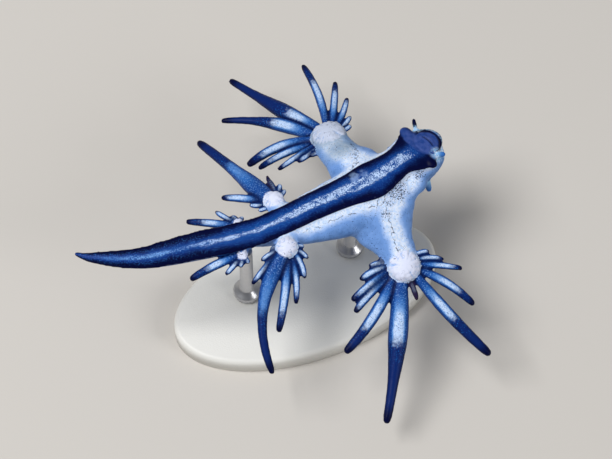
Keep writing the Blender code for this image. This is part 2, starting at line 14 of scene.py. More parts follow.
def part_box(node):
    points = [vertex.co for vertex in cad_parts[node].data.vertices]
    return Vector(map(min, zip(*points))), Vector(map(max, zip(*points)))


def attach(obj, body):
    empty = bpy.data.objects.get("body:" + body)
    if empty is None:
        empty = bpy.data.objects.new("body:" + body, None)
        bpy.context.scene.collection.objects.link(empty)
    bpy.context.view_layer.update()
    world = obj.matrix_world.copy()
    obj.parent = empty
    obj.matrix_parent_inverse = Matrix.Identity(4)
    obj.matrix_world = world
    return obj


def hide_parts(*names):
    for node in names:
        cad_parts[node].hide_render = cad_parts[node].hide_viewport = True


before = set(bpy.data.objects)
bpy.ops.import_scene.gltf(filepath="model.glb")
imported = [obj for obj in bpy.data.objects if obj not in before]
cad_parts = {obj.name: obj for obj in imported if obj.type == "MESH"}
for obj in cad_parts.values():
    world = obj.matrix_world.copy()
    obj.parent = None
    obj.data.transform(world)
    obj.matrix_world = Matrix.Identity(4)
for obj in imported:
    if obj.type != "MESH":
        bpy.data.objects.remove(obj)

bl_info = {
    "name": "Blue dragon sea slug",
    "version": (1, 0, 0),
    "blender": (4, 5, 0),
    "location": "3D View > Sidebar > Slug",
    "description": "Builds a life-size blue dragon sea slug with its skin, stand and stage",
    "category": "Object",
}

# The skin is built in millimetres and scaled to metres when it is whole
MM = 0.001
SEED = 7
UP = Vector((0, 0, 1))

# Trunk, with the same stations as the solids
FOOT_HEIGHT = 12.2
CROWN = 0.24
MARGIN_DROP = 0.10
MARGIN_SHARE = 0.6
LIP_HEIGHT = 0.22
LIP_OVERHANG = 0.15
THIN_LIP = 0.3
SLIM_FLANK = 0.98
WAIST_SHARE = 0.42
RING_SPACING = 0.25
SOLE_STEPS = 8
FLANK_STEPS = 14
BACK_GAP = 0.6
POINTS_PER_ROW = 12
SECTION_STEPS = 400

Station = namedtuple("Station", "x y rise foot flank near depth roll")
STATIONS = (
    Station(-19.95, -1.87, -0.90, 0.16, 0.12, 0.12, 0.30, 22),
    Station(-18.95, -2.22, -0.85, 0.38, 0.32, 0.32, 0.65, 22),
    Station(-17.90, -2.36, -0.78, 0.57, 0.48, 0.48, 0.95, 22),
    Station(-16.25, -2.52, -0.68, 0.77, 0.64, 0.64, 1.25, 22),
    Station(-14.00, -2.49, -0.54, 0.99, 0.85, 0.85, 1.60, 20),
    Station(-11.80, -2.02, -0.40, 1.17, 1.02, 1.02, 1.90, 18),
    Station(-9.40, -1.44, -0.25, 1.28, 1.12, 1.12, 2.10, 17),
    Station(-7.50, -1.03, -0.15, 1.31, 1.10, 1.10, 2.15, 15),
    Station(-5.70, -0.62, -0.08, 1.31, 0.98, 0.98, 2.15, 15),
    Station(-3.90, -0.02, 0.00, 1.31, 1.12, 1.20, 2.40, 10),
    Station(-1.85, 1.05, 0.00, 1.32, 1.35, 2.10, 2.75, 5),
    Station(1.00, 2.62, 0.00, 1.42, 2.05, 3.05, 3.20, 0),
    Station(3.57, 3.92, 0.00, 1.56, 2.45, 3.60, 3.50, 0),
    Station(5.60, 4.95, 0.00, 1.92, 2.60, 2.90, 3.45, 0),
    Station(6.95, 5.95, 0.00, 1.70, 2.25, 2.40, 3.25, 0),
    Station(8.15, 6.98, -0.03, 1.50, 2.12, 2.12, 3.20, 0),
    Station(9.20, 7.75, -0.08, 1.95, 2.32, 2.32, 3.15, 0),
    Station(9.75, 8.22, -0.12, 2.22, 2.38, 2.38, 3.05, 0),
    Station(10.25, 8.72, -0.12, 1.85, 2.30, 2.30, 2.95, 0),
    Station(10.90, 9.36, -0.20, 1.45, 2.08, 2.08, 2.60, 0),
    Station(11.38, 9.80, -0.38, 1.10, 1.70, 1.70, 2.10, 0),
    Station(11.66, 10.04, -0.65, 0.80, 1.20, 1.20, 1.50, 0),
    Station(11.80, 10.16, -0.95, 0.35, 0.60, 0.60, 0.85, 0),
)

# Head
Feeler = namedtuple("Feeler", "name distance across below turn drop length radius")
FEELERS = (
    Feeler("oral_tentacle_left", 33.55, -1.62, 0.28, -76, -50, 0.42, 0.27),
    Feeler("oral_tentacle_right", 34.08, 1.60, 0.60, 54, -14, 0.85, 0.20),
    Feeler("rhinophore_left", 32.00, -2.05, 2.10, -112, 31, 0.50, 0.30),
    Feeler("rhinophore_right", 32.00, 2.05, 2.10, 112, 31, 0.50, 0.30),
)
# Corners of the foot's front edge, as x, y, rise, turn and radii
LOBES = (
    (10.95, 6.98, -0.24, 41, (0.50, 0.72, 0.30)),
    (8.88, 10.02, -0.30, 41, (0.55, 0.66, 0.34)),
)

# Arms: each has a stalk of (x, y, rise, half width, half depth), then whether it is a front one, its
# pad's way out, droop and radius, and its cerata. A ceras has its bearings at the pad's rim and of its
# own, its length, radius and bend, where along it the navy tip starts, and whether it is a thin brown one
Ceras = namedtuple("Ceras", "rim heading length radius bend start brown", defaults=(False,))
Arm = namedtuple("Arm", "stalk front out droop pad_radius cerata")

FRONT_LEFT = Arm(
    (
        (6.10, 4.60, -1.75, 4.00, 1.50),
        (6.45, 2.40, -2.05, 3.00, 1.45),
        (6.93, 0.60, -2.60, 2.42, 1.20),
        (7.85, -0.50, -2.95, 1.78, 1.05),
        (8.52, -1.82, -3.27, 1.45, 0.95),
    ),
    True, -81, 25, 1.40,
    (
        Ceras(129, 98, 1.47, 0.25, 0.0, 0.84),
        Ceras(111, 82, 2.42, 0.27, 0.0, 0.80),
        Ceras(89, 77, 3.91, 0.31, 0.0, 0.77),
        Ceras(69, 50, 5.79, 0.43, 0.02, 0.67),
        Ceras(46, 35, 9.54, 0.54, -0.045, 0.52),
        Ceras(17, 12, 1.90, 0.25, 0.0, 0.6, True),
        Ceras(-21, -14, 12.50, 0.88, 0.038, 0.43),
        Ceras(-51, -41, 7.87, 0.54, 0.07, 0.64),
        Ceras(-68, -51, 4.64, 0.43, 0.0, 0.86),
        Ceras(-84, -59, 4.26, 0.41, 0.04, 0.82),
        Ceras(-99, -72, 2.81, 0.38, 0.0, 0.84),
        Ceras(-112, -88, 1.83, 0.30, 0.0, 0.86),
        Ceras(-126, -95, 1.04, 0.25, 0.0, 0.88),
    ),
)
FRONT_RIGHT = Arm(
    (
        (5.30, 5.40, -1.75, 2.90, 1.50),
        (4.35, 7.60, -1.95, 2.45, 1.35),
        (3.30, 8.90, -2.40, 1.86, 1.15),
        (2.60, 10.10, -2.85, 1.72, 1.05),
        (2.12, 11.32, -3.28, 1.60, 0.95),
    ),
    True, 118.6, 18, 1.60,
    (
        Ceras(84, 77, 1.00, 0.25, 0.0, 0.88),
        Ceras(68, 57, 2.00, 0.27, 0.0, 0.86),
        Ceras(52, 42, 4.20, 0.33, 0.0, 0.82),
        Ceras(35, 31, 6.30, 0.38, 0.0, 0.74),
        Ceras(17, 14, 9.50, 0.41, 0.035, 0.67),
        Ceras(-6, -17.5, 12.10, 0.77, -0.035, 0.30),
        Ceras(-40, -40, 9.40, 0.66, 0.085, 0.46),
        Ceras(-62, -85, 6.40, 0.50, 0.08, 0.75),
        Ceras(-77, -89, 5.60, 0.37, 0.05, 0.75),
        Ceras(-92, -101, 4.30, 0.31, 0.0, 0.84),
        Ceras(-106, -103, 2.40, 0.29, 0.0, 0.86),
        Ceras(-119, -98, 1.25, 0.25, 0.0, 0.88),
    ),
)
MID_LEFT = Arm(
    (
        (-1.30, 0.90, -1.30, 1.50, 1.00),
        (-1.50, -0.20, -1.00, 1.20, 0.80),
        (-1.68, -1.40, -0.62, 0.92, 0.60),
    ),
    False, -84, 25, 0.92,
    (
        Ceras(94, 80, 0.75, 0.25, 0.0, 0.88),
        Ceras(72, 47, 1.32, 0.25, 0.0, 0.86),
        Ceras(49, 16, 2.40, 0.30, 0.0, 0.86),
        Ceras(24, 0, 4.20, 0.33, 0.0, 0.80),
        Ceras(-1, -12, 6.55, 0.43, 0.0, 0.72),
        Ceras(-30, -10, 10.20, 0.72, -0.085, 0.48),
        Ceras(-56, -46, 3.55, 0.31, 0.0, 0.84),
        Ceras(-78, -61, 1.70, 0.25, 0.0, 0.86),
        Ceras(-100, -66, 0.70, 0.25, 0.0, 0.88),
    ),
)
MID_RIGHT = Arm(
    (
        (-1.90, 1.20, -1.30, 1.50, 1.00),
        (-2.30, 2.20, -1.05, 1.20, 0.80),
        (-2.73, 3.28, -0.85, 0.92, 0.60),
    ),
    False, 138.7, 20, 0.92,
    (
        Ceras(88, 72, 0.75, 0.25, 0.0, 0.88),
        Ceras(68, 51, 1.35, 0.25, 0.0, 0.86),
        Ceras(49, 29, 2.25, 0.25, 0.0, 0.84),
        Ceras(38, 33, 2.70, 0.22, 0.0, 0.6, True),
        Ceras(-2, 10, 11.15, 0.86, 0.035, 0.54),
        Ceras(-27, -23, 4.35, 0.39, 0.04, 0.82),
        Ceras(-54, -28, 1.55, 0.25, 0.0, 0.86),
        Ceras(-80, -50, 0.85, 0.25, 0.0, 0.88),
    ),
)
REAR_LEFT = Arm(
    (
        (-5.50, -0.50, -1.10, 0.80, 0.60),
        (-5.48, -1.10, -1.12, 0.65, 0.50),
        (-5.45, -1.85, -1.15, 0.50, 0.42),
    ),
    False, -101, 20, 0.50,
    (
        Ceras(55, 20, 0.50, 0.25, 0.0, 0.88),
        Ceras(10, -14, 0.70, 0.25, 0.0, 0.88),
        Ceras(-28, -31, 1.85, 0.26, 0.0, 0.84),
        Ceras(-68, -53, 4.60, 0.42, 0.0, 0.60),
    ),
)
REAR_RIGHT = Arm(
    (
        (-5.50, -0.60, -1.10, 0.80, 0.60),
        (-5.65, 0.30, -1.10, 0.65, 0.50),
        (-5.85, 1.12, -1.08, 0.50, 0.42),
    ),
    False, 120.5, 15, 0.50,
    (
        Ceras(56, 30, 0.50, 0.25, 0.0, 0.88),
        Ceras(12, -12, 0.80, 0.25, 0.0, 0.88),
        Ceras(-26, -18, 2.35, 0.26, 0.0, 0.84),
        Ceras(-64, -47, 4.35, 0.38, 0.05, 0.64),
    ),
)
ARMS = (FRONT_LEFT, FRONT_RIGHT, MID_LEFT, MID_RIGHT, REAR_LEFT, REAR_RIGHT)
STALK_SIDES = 40
STALK_RINGS = 4
BULGE_SIDES = 48
BULGE_RINGS = 28
PAD_FLATNESS = 0.7
PAD_LIFT = 0.18
ROOT_REACH = 0.5
RIM_REACH = 0.92
STOUT_CERAS = 0.6
SHORT_CERAS = 3.0
# Outlines of the cerata, as shares of their length and radius
LONG_PROFILE = (
    (0.0, 0.72), (0.16, 0.9), (0.34, 1.0), (0.44, 0.96), (0.54, 0.8), (0.7, 0.58), (0.86, 0.48),
    (0.96, 0.42), (1.0, 0.25),
)
LEAF_PROFILE = (
    (0.0, 0.95), (0.12, 1.0), (0.25, 0.95), (0.4, 0.76), (0.55, 0.62), (0.7, 0.55), (0.86, 0.5),
    (0.96, 0.42), (1.0, 0.25),
)
MIDDLE_PROFILE = (
    (0.0, 0.72), (0.16, 0.88), (0.34, 1.0), (0.52, 0.98), (0.7, 0.9), (0.86, 0.8), (0.96, 0.66),
    (1.0, 0.35),
)
SHORT_PROFILE = ((0.0, 0.85), (0.4, 1.0), (0.8, 0.92), (1.0, 0.5))

# Cerata
CERAS_LIFTS = (-0.1, 0.05)
CERAS_ROOT = 0.7
CERAS_SPACING = 0.3
TUBE_SIDES = 24
FEWEST_RINGS = 8
CERAS_FLATNESS = 0.94
TIP_START = 0.97
# The silver streaks lie on the side towards the light, as seen in the photo
# The cerata are darker away from this side, partly as painted shade
STREAK_SIDE = (0.0, -0.35, 0.94)
FAN_REACH = 4.0
LEAST_REACH = 6.0
LEAF_SILVER = 0.42
# Reach of the painted shade between neighbouring cerata, in mm
GAP_SHADE_REACH = (0.1, 0.42)
DOME_STEPS = 5

# Feelers and mouth
FEELER_SUNK = -0.8
FEELER_ROOT = 0.55
FEELER_START = 0.5
FEELER_TIMES = (0.0, 0.3, 0.55, 0.7, 0.82, 0.92, 0.975, 1.0)
FEELER_SHARES = (1.3, 1.2, 1.05, 1.0, 0.94, 0.8, 0.52, 0.2)
BLACK_FEELERS = ("oral_tentacle_right",)
DOME_DISTANCE = 33.6
DOME_ACROSS = -0.15
DOME_DEPTH = 0.32
DOME_TILT = 12
DOME_RADII = (1.1, 1.25, 0.55)
HEAD_REACH = 2.3
HEAD_DEPTH = 1.2
FRONT_DARK = 2.5
VEIL_WAVE = 0.14
FOLD_COUNT = 11
# The swelling of the neck over the near front arm, as x, y, rise, turn and radii
CHEEKS = ((9.6, 5.35, -1.5, 35, (1.25, 0.95, 0.95)),)
# The painted shadow of the dark crescent before the mouth, the pale rim round it and the folds, by where
# they start, are full, fade and end
CRESCENT = (0.74, 0.9, 1.06, 1.13)
CRESCENT_RIM = (1.12, 1.2, 1.36, 1.56)
LIP_ZONE = (0.35, 0.6, 0.75, 1.0)
# The foot's front edge, as x and y from its near corner to its far one
FOOT_EDGE = ((11.45, 7.1), (10.89, 7.59), (10.28, 7.69), (9.5, 8.19), (8.64, 9.19), (8.2, 10.4))

# How points are welded, handled in blocks and kept from a division by zero
WELD = 1e-6
BLOCK = 4000
TINY = 1e-6

# Rounds of smoothing, and the blends of the arms with the trunk and their pads: how far they reach in
# mm, their rounds, and where they fade
EVEN_ROUNDS = 4
BLEND_SPREAD = 4
UPPER_SPREAD = 6
SHOULDER_BLEND = 0.75
SHOULDER_ROUNDS = 70
BELOW_FOOT = (0.25, 0.8)
BESIDE_FOOT = (0.1, 0.5)
WRIST_BLEND = 0.5
WRIST_ROUNDS = 40
CLEAR_OF_CERATA = (0.2, 0.6)

# The kinds of strand that stand off the trunk
OFF_TRUNK = ("ceras", "pad", "feeler")

# Fine forms of the skin
FOLD_DEPTH = 0.045
FOLDS_START = (0.3, 0.5)
CREASE_DEPTH = 0.05
GRAIN_DEPTH = 0.012
CERAS_KNOB = 0.018
TUFT_RAYS = 9.0
TUFT_REACH = 0.12
TUFT_HEIGHT = 0.16
TUFT_START = (0.2, 0.7)
# A pad's widest reach, and its lowest and highest point, as shares of its radius
PAD_ZONE = (1.35, -0.35, 1.0)
PAD_RIM = (0.86, 0.98)
RIM_GROOVE = 0.07
LIP_LINE = 0.12
LIP_RISE = 0.07
LIP_FOLDS = 0.02
# How far the skin must curve inwards for the painted shade in its creases, from none to full
CREASE_SHADE_RANGE = (0.0015, 0.010)

# White of the trunk, from and to mm away from the foot's edge, and the least white of the arms
WHITE_BAND = (0.4, 1.7)
WHITE_START = (0.42, 0.55)
ARM_PALE = 0.16
CERAS_PALE = 0.6
WHITE_SPREAD = 24
BAND_FADE = 1.1
NECK_PALE = (25.0, 28.0)
HEAD_PALE = (30.0, 33.0)

# White bands of the front arms, as x and y, and how far they reach to the left and the right
WHITE_LINES = (
    (((7.9, 3.3), (7.3, 2.2), (7.43, 1.1), (8.07, -0.2), (8.3, -1.3), (8.52, -1.9)), (0.4, 0.35)),
    (((5.3, 6.9), (4.0, 7.9), (2.8, 9.0), (2.1, 10.5)), (0.6, 0.6)),
)
# Wavy dark lines on the arms, as x and y, and how far off they fade
DARK_LINES = (
    (
        (6.74, 3.87), (7.05, 2.9), (7.0, 2.1), (7.5, 1.2), (7.55, 0.2), (7.95, -0.89), (8.15, -1.5),
        (8.47, -2.31),
    ),
    ((5.9, 4.1), (6.3, 3.3), (6.1, 2.6)),
    ((4.6, 7.2), (4.3, 8.1), (4.45, 8.9), (4.0, 9.7)),
)
LINE_REACH = 2.0

# Coloured patches as kind, x, y, rise and radius
PATCHES = (
    ("haze", 4.97, 5.53, 0.2, 0.45),
    ("haze", 4.3, 5.2, 0.2, 0.6),
    ("pale", 11.40, 7.85, -0.6, 0.80),
    ("pale", 9.80, 10.40, -0.7, 0.70),
    ("pale", 12.10, 8.40, -0.9, 0.60),
    ("dots", 7.95, 4.28, -0.6, 1.3),
    ("dots", 9.9, 6.1, -0.7, 0.8),
    ("dots", 6.90, 2.02, -1.0, 0.6),
    ("dots", 7.25, 3.1, -0.9, 0.6),
    ("dots", 3.02, 1.45, -0.7, 0.45),
    ("dots", 4.40, 7.90, -1.3, 0.9),
    ("dots", 2.80, 9.07, -1.9, 0.7),
    # Painted shade over the far front arm and its pad
    ("far_arm_shade", 2.12, 11.32, -3.0, 2.4),
    ("far_arm_shade", 3.40, 8.90, -2.4, 2.0),
)
LAYERS = (
    "sole", "stripe", "along", "front", "white", "line", "ceras", "feeler", "pad", "tuft", "silver",
    "crest", "reach", "navy", "thin", "gap", "veil", "haze", "pale", "dots", "far_arm_shade", "crescent_shadow",
    "crack", "crease_shade",
)

# Stand, in mm: its base, the ferrules' radius and step, and how the rods end
BASE_RADII = (12.5, 6.5)
BASE_TURN = 22
BASE_SEGMENTS = 160
FERRULE = (1.25, 0.5)
BEVEL_STEPS = 5
ROD_SIDES = 64
ROD_SUNK = 0.12
ROD_SOFT = 0.12
ROD_END = 0.96
ROD_WELD = 1e-7

# Camera, aimed at the middle of the animal's foot, and the floor
CAMERA_LENS = 135
CAMERA_AWAY = 198.288
CAMERA_ELEVATION = 60
CAMERA_NEAREST = 0.01
FLOOR_REACH = 900
# Lights as name, share of the main light's strength, size in mm and place in metres
LIGHTS = (("main", 1.0, 260, (-0.25, -0.05, 0.45)), ("side", 0.35, 200, (0.45, -0.25, 0.25)))
SKY_COLOUR = (0.92, 0.95, 1.0, 1)


Section = namedtuple("Section", "place ahead side up foot flank near depth")
# A round form under the skin: its kind, its closed surface, the line along it and its up side.
# A ceras also has where its navy tip starts, how silver its streak is, and whether it is dark
Strand = namedtuple("Strand", "kind bm line up size start silver dark", defaults=(1.0, 1.0, 1.0, False))


def smooth(low, high, value):
    """0 below low, 1 above high, and an even rise between them, for numbers and arrays."""
    share = np.clip((value - low) / (high - low), 0, 1)
    return share * share * (3 - 2 * share)


def between(start, full, fade, end, value):
    """A rise from start to full, and a fall from fade to end."""
    return smooth(start, full, value) * (1 - smooth(fade, end, value))


def circle(count):
    """Angles once round."""
    return [2 * math.pi * k / count for k in range(count)]


def spline(rows, index, share):
    """Catmull-Rom values between rows[index] and the next row."""
    last = len(rows) - 1
    a, b, c, d = (rows[min(max(index + k, 0), last)] for k in (-1, 0, 1, 2))
    s, s2, s3 = share, share * share, share**3
    return [
        0.5 * (2 * q + (r - p) * s + (2 * p - 5 * q + 4 * r - t) * s2 + (3 * q - p - 3 * r + t) * s3)
        for p, q, r, t in zip(a, b, c, d)
    ]


class Path:
    """A smooth curve through rows of x, y and rise above the foot, with sizes that change along it."""

    def __init__(self, rows):
        shares = [k / POINTS_PER_ROW for k in range(POINTS_PER_ROW)]
        fine = [spline(rows, i, share) for i in range(len(rows) - 1) for share in shares]
        fine.append(list(rows[-1]))
        self.places = [Vector((x, y, FOOT_HEIGHT + rise)) for x, y, rise, *_ in fine]
        self.sizes = [row[3:] for row in fine]
        self.distances = [0.0]
        for before, after in zip(self.places, self.places[1:]):
            self.distances.append(self.distances[-1] + (after - before).length)
        self.length = self.distances[-1]

    def at(self, distance):
        """The place, direction and sizes at a distance from the first row."""
        distance = min(max(distance, 0.0), self.length)
        last = len(self.places) - 1
        i = next((k for k in range(1, last) if self.distances[k] >= distance), last)
        share = (distance - self.distances[i - 1]) / (self.distances[i] - self.distances[i - 1])
        place = self.places[i - 1].lerp(self.places[i], share)
        ahead = (self.places[min(i + 3, last)] - self.places[max(i - 4, 0)]).normalized()
        return place, ahead, [a + (b - a) * share for a, b in zip(self.sizes[i - 1], self.sizes[i])]

    def rings(self, ring_at, fewest=1):
        """Even rings from end to end, each drawn by ring_at from its distance."""
        steps = max(fewest, round(self.length / RING_SPACING))
        return [ring_at(self.length * k / steps) for k in range(steps + 1)]


TRUNK = Path(STATIONS)


def section_at(distance):
    """The trunk's frame and sizes at a distance from the tail's tip, rolled foot towards -Y."""
    place, ahead, (foot, flank, near, depth, roll) = TRUNK.at(distance)
    level = UP.cross(ahead).normalized()
    above = ahead.cross(level)
    c, s = math.cos(math.radians(roll)), math.sin(math.radians(roll))
    return Section(place, ahead, level * c + above * s, above * c - level * s, foot, flank, near, depth)


def half_outline(section, flank):
    """Half of the trunk's outline as across and height: domed foot, plump margin, flank and back."""
    lip = min(LIP_HEIGHT, THIN_LIP * section.depth)
    inner = min(section.foot - min(LIP_OVERHANG, THIN_LIP * section.foot), flank * SLIM_FLANK)
    waist = WAIST_SHARE * section.depth
    start = math.acos(inner / flank)
    crown = min(CROWN, THIN_LIP * section.foot)
    half = []
    for step in range(1, SOLE_STEPS + 1):
        a = math.sin(math.pi / 2 * step / SOLE_STEPS)
        half.append((section.foot * a, crown * (1 - a * a) - MARGIN_DROP * a**6))
    half.append((section.foot, -MARGIN_SHARE * lip))
    half.append((inner, -lip))
    for step in range(1, FLANK_STEPS + 1):
        angle = start - (start + math.pi / 2) * step / (FLANK_STEPS + BACK_GAP)
        reach = (waist - lip) / math.sin(start) if angle > 0 else section.depth - waist
        half.append((flank * math.cos(angle), reach * math.sin(angle) - waist))
    return half


def trunk_ring(distance):
    """The trunk's outline square to its centre line."""
    s = section_at(distance)
    crown = min(CROWN, THIN_LIP * s.foot)
    outline = [(0.0, crown)] + half_outline(s, s.flank) + [(0.0, -s.depth)]
    outline += [(-across, height) for across, height in reversed(half_outline(s, s.near))]
    return [s.place + s.side * across + s.up * height for across, height in outline]


def loft(rings):
    """A closed bmesh through rings of equal numbers of points: a grid bent round, welded and capped."""
    sides = len(rings[0])
    bm = bmesh.new()
    bmesh.ops.create_grid(bm, x_segments=sides, y_segments=len(rings) - 1, size=1)
    bm.verts.ensure_lookup_table()
    for row, ring in enumerate(rings):
        for column in range(sides + 1):
            bm.verts[row * (sides + 1) + column].co = ring[column % sides]
    bmesh.ops.remove_doubles(bm, verts=bm.verts, dist=WELD)
    bmesh.ops.holes_fill(bm, edges=[e for e in bm.edges if e.is_boundary], sides=0)
    bmesh.ops.recalc_face_normals(bm, faces=bm.faces)
    return bm


def ellipsoid(place, radii, turn):
    """A closed ellipsoid with its axes along the columns of turn."""
    bm = bmesh.new()
    bmesh.ops.create_uvsphere(bm, u_segments=BULGE_SIDES, v_segments=BULGE_RINGS, radius=1.0)
    matrix = Matrix.Translation(place) @ turn.to_4x4() @ Matrix.Diagonal((*radii, 1))
    bmesh.ops.transform(bm, matrix=matrix, verts=bm.verts)
    return bm


def tube(points, radii, up, flatness=1.0):
    """A tapered round tube along points, its rings turned with the curve."""
    rings = []
    last = len(points) - 1
    for k, (place, radius) in enumerate(zip(points, radii)):
        ahead = (points[min(k + 1, last)] - points[max(k - 1, 0)]).normalized()
        side = ahead.cross(up).normalized()
        top = side.cross(ahead) * flatness
        turns = [side * math.cos(a) + top * math.sin(a) for a in circle(TUBE_SIDES)]
        rings.append([place + turn * radius for turn in turns])
    return loft(rings)


def ceras_profile(ceras, front):
    """The outline that suits a ceras, on a front arm or on one of the fans behind."""
    if ceras.length < SHORT_CERAS:
        return SHORT_PROFILE
    if ceras.radius > STOUT_CERAS:
        return LONG_PROFILE if front else LEAF_PROFILE
    return MIDDLE_PROFILE


class Fan:
    """One arm's frame: its stalk, its pad, the ways out and towards the head, and its up side."""

    def __init__(self, arm):
        level = Vector((math.cos(math.radians(arm.out)), math.sin(math.radians(arm.out)), 0))
        droop = math.radians(arm.droop)
        self.arm = arm
        self.stalk = Path(arm.stalk)
        self.pad = self.stalk.places[-1]
        self.out = level * math.cos(droop) - UP * math.sin(droop)
        across = UP.cross(level)
        self.ahead = across if across.x > 0 else -across
        normal = self.out.cross(self.ahead)
        self.up = normal if normal.z > 0 else -normal
        self.turn = Matrix((self.out, self.ahead, self.up)).transposed()

    def way(self, bearing):
        """The direction in the fan at a bearing in degrees, positive towards the head."""
        angle = math.radians(bearing)
        return self.out * math.cos(angle) + self.ahead * math.sin(angle)

    def stalk_ring(self, distance):
        """The stalk's oval outline at a distance from its root."""
        place, _, (half_width, half_depth) = self.stalk.at(distance)
        return [
            place + self.ahead * half_width * math.cos(a) + self.up * half_depth * math.sin(a)
            for a in circle(STALK_SIDES)
        ]

    def ceras_line(self, ceras, lift):
        """Points and radii along one ceras, from its root under the pad's rim to its blunt tip."""
        reach = self.arm.pad_radius
        root = self.pad + self.way(ceras.rim) * reach * ROOT_REACH + lift
        rim = self.pad + self.way(ceras.rim) * reach * RIM_REACH + lift
        tip = rim + self.way(ceras.heading) * ceras.length
        leaving = self.way(0.5 * (ceras.heading + ceras.rim)) * 0.5
        bow = self.way(ceras.heading + 90) * ceras.bend * 2
        middle = rim + (leaving + bow) * ceras.length
        profile = ceras_profile(ceras, self.arm.front)
        places = [t for t, _ in profile]
        steps = max(FEWEST_RINGS, round(ceras.length / CERAS_SPACING))
        points, radii = [root], [ceras.radius * CERAS_ROOT]
        for step in range(steps + 1):
            t = step / steps * TIP_START
            k = max(i for i in range(len(places) - 1) if places[i] <= t)
            share = spline(profile, k, (t - places[k]) / (places[k + 1] - places[k]))[1]
            points.append(rim * (1 - t) ** 2 + middle * 2 * t * (1 - t) + tip * t * t)
            radii.append(ceras.radius * share)
        start, radius = points[-1], radii[-1]
        for step in range(1, DOME_STEPS + 1):
            angle = math.pi / 2 * step / (DOME_STEPS + 0.3)
            points.append(start.lerp(tip, math.sin(angle)))
            radii.append(radius * math.cos(angle))
        return points, radii

    def strands(self, rng):
        """The stalk, the pad and the cerata, each ceras lifted a little by chance."""
        radius = self.arm.pad_radius
        centre = self.pad + self.up * PAD_LIFT * radius
        dome = ellipsoid(centre, (radius, radius, radius * PAD_FLATNESS), self.turn)
        stalk = loft(self.stalk.rings(self.stalk_ring, STALK_RINGS))
        yield Strand("stalk", stalk, self.stalk.places, self.up)
        yield Strand("pad", dome, [self.pad, self.pad + self.up], self.up, radius)
        for ceras in self.arm.cerata:
            points, radii = self.ceras_line(ceras, self.up * rng.uniform(*CERAS_LIFTS))
            body = tube(points, radii, self.up, CERAS_FLATNESS)
            leaf = ceras.radius > STOUT_CERAS and not self.arm.front
            silver = LEAF_SILVER if leaf else 1.0
            yield Strand("ceras", body, points[1:], self.up, ceras.length, ceras.start, silver, ceras.brown)


def feeler_strand(feeler):
    """One feeler, from inside the head to its tip."""
    s = section_at(feeler.distance)
    level = Matrix.Rotation(math.radians(feeler.turn), 3, "Z") @ s.ahead
    drop = math.radians(feeler.drop)
    way = level.normalized() * math.cos(drop) - UP * math.sin(drop)
    root = s.place + s.side * feeler.across - UP * feeler.below
    reach = FEELER_ROOT + feeler.length - FEELER_SUNK
    points = [root + way * (FEELER_SUNK + reach * t) for t in FEELER_TIMES]
    radii = [feeler.radius * share for share in FEELER_SHARES]
    dark = feeler.name in BLACK_FEELERS
    return Strand("feeler", tube(points, radii, UP), points, UP, feeler.length, FEELER_START, dark=dark)


def mouth_frame():
    """The place and the turn of the mouth's dome on the head's foot side."""
    s = section_at(DOME_DISTANCE)
    turn = Matrix((s.ahead, s.side, s.up)).transposed()
    turn = Matrix.Rotation(math.radians(DOME_TILT), 3, s.side) @ turn
    return s.place + s.side * DOME_ACROSS - UP * DOME_DEPTH, turn


def strands():
    """Every round form that the skin goes over: the trunk, the arms with their fans, and the head's own."""
    rng = random.Random(SEED)
    found = [Strand("trunk", loft(TRUNK.rings(trunk_ring)), TRUNK.places, UP)]
    for arm in ARMS:
        found.extend(Fan(arm).strands(rng))
    found.extend(feeler_strand(feeler) for feeler in FEELERS)
    place, turn = mouth_frame()
    found.append(Strand("mouth", ellipsoid(place, DOME_RADII, turn), [place], UP))
    for kind, rows in (("lobe", LOBES), ("trunk", CHEEKS)):
        for x, y, rise, turn, radii in rows:
            place = Vector((x, y, FOOT_HEIGHT + rise))
            bulge = ellipsoid(place, radii, Matrix.Rotation(math.radians(turn), 3, "Z"))
            found.append(Strand(kind, bulge, [place], UP))
    return found


def mesh_from(name, bm):
    """A smooth shaded mesh of a bmesh's surface, which ends the bmesh."""
    mesh = bpy.data.meshes.new(name)
    bm.to_mesh(mesh)
    bm.free()
    mesh.shade_smooth()
    return mesh


def linked(name, data):
    """A new object in the scene."""
    thing = bpy.data.objects.new(name, data)
    bpy.context.scene.collection.objects.link(thing)
    return thing


def placed(name, mesh, finish):
    """A finished piece at the origin, riding on the model's one body."""
    piece = linked(name, mesh)
    mesh.materials.append(finish)
    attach(piece, "root")
    return piece


def joined(strand_list):
    """One object with every strand's closed surface, for the skin to be drawn over."""
    mesh = bpy.data.meshes.new("form")
    whole = bmesh.new()
    for strand in strand_list:
        strand.bm.to_mesh(mesh)
        whole.from_mesh(mesh)
    bpy.data.meshes.remove(mesh)
    return linked("forms", mesh_from("forms", whole))


def drawn_over(forms, grain):
    """A bmesh of one closed skin drawn over the forms by a voxel remesh, with its largest piece kept."""
    remesh = forms.modifiers.new("one skin", "REMESH")
    remesh.mode = "VOXEL"
    remesh.voxel_size = grain
    bpy.context.view_layer.update()
    graph = bpy.context.evaluated_depsgraph_get()
    mesh = bpy.data.meshes.new_from_object(forms.evaluated_get(graph), depsgraph=graph)
    bpy.data.objects.remove(forms)
    bm = bmesh.new()
    bm.from_mesh(mesh)
    bpy.data.meshes.remove(mesh)
    keep_largest(bm)
    return bm


def keep_largest(bm):
    """Leaves only the connected surface with the most points."""
    left, pieces = set(bm.verts), []
    while left:
        todo, piece = [left.pop()], []
        while todo:
            vert = todo.pop()
            piece.append(vert)
            near = {edge.other_vert(vert) for edge in vert.link_edges} & left
            left -= near
            todo.extend(near)
        pieces.append(piece)
    pieces.sort(key=len)
    bmesh.ops.delete(bm, geom=[v for piece in pieces[:-1] for v in piece], context="VERTS")


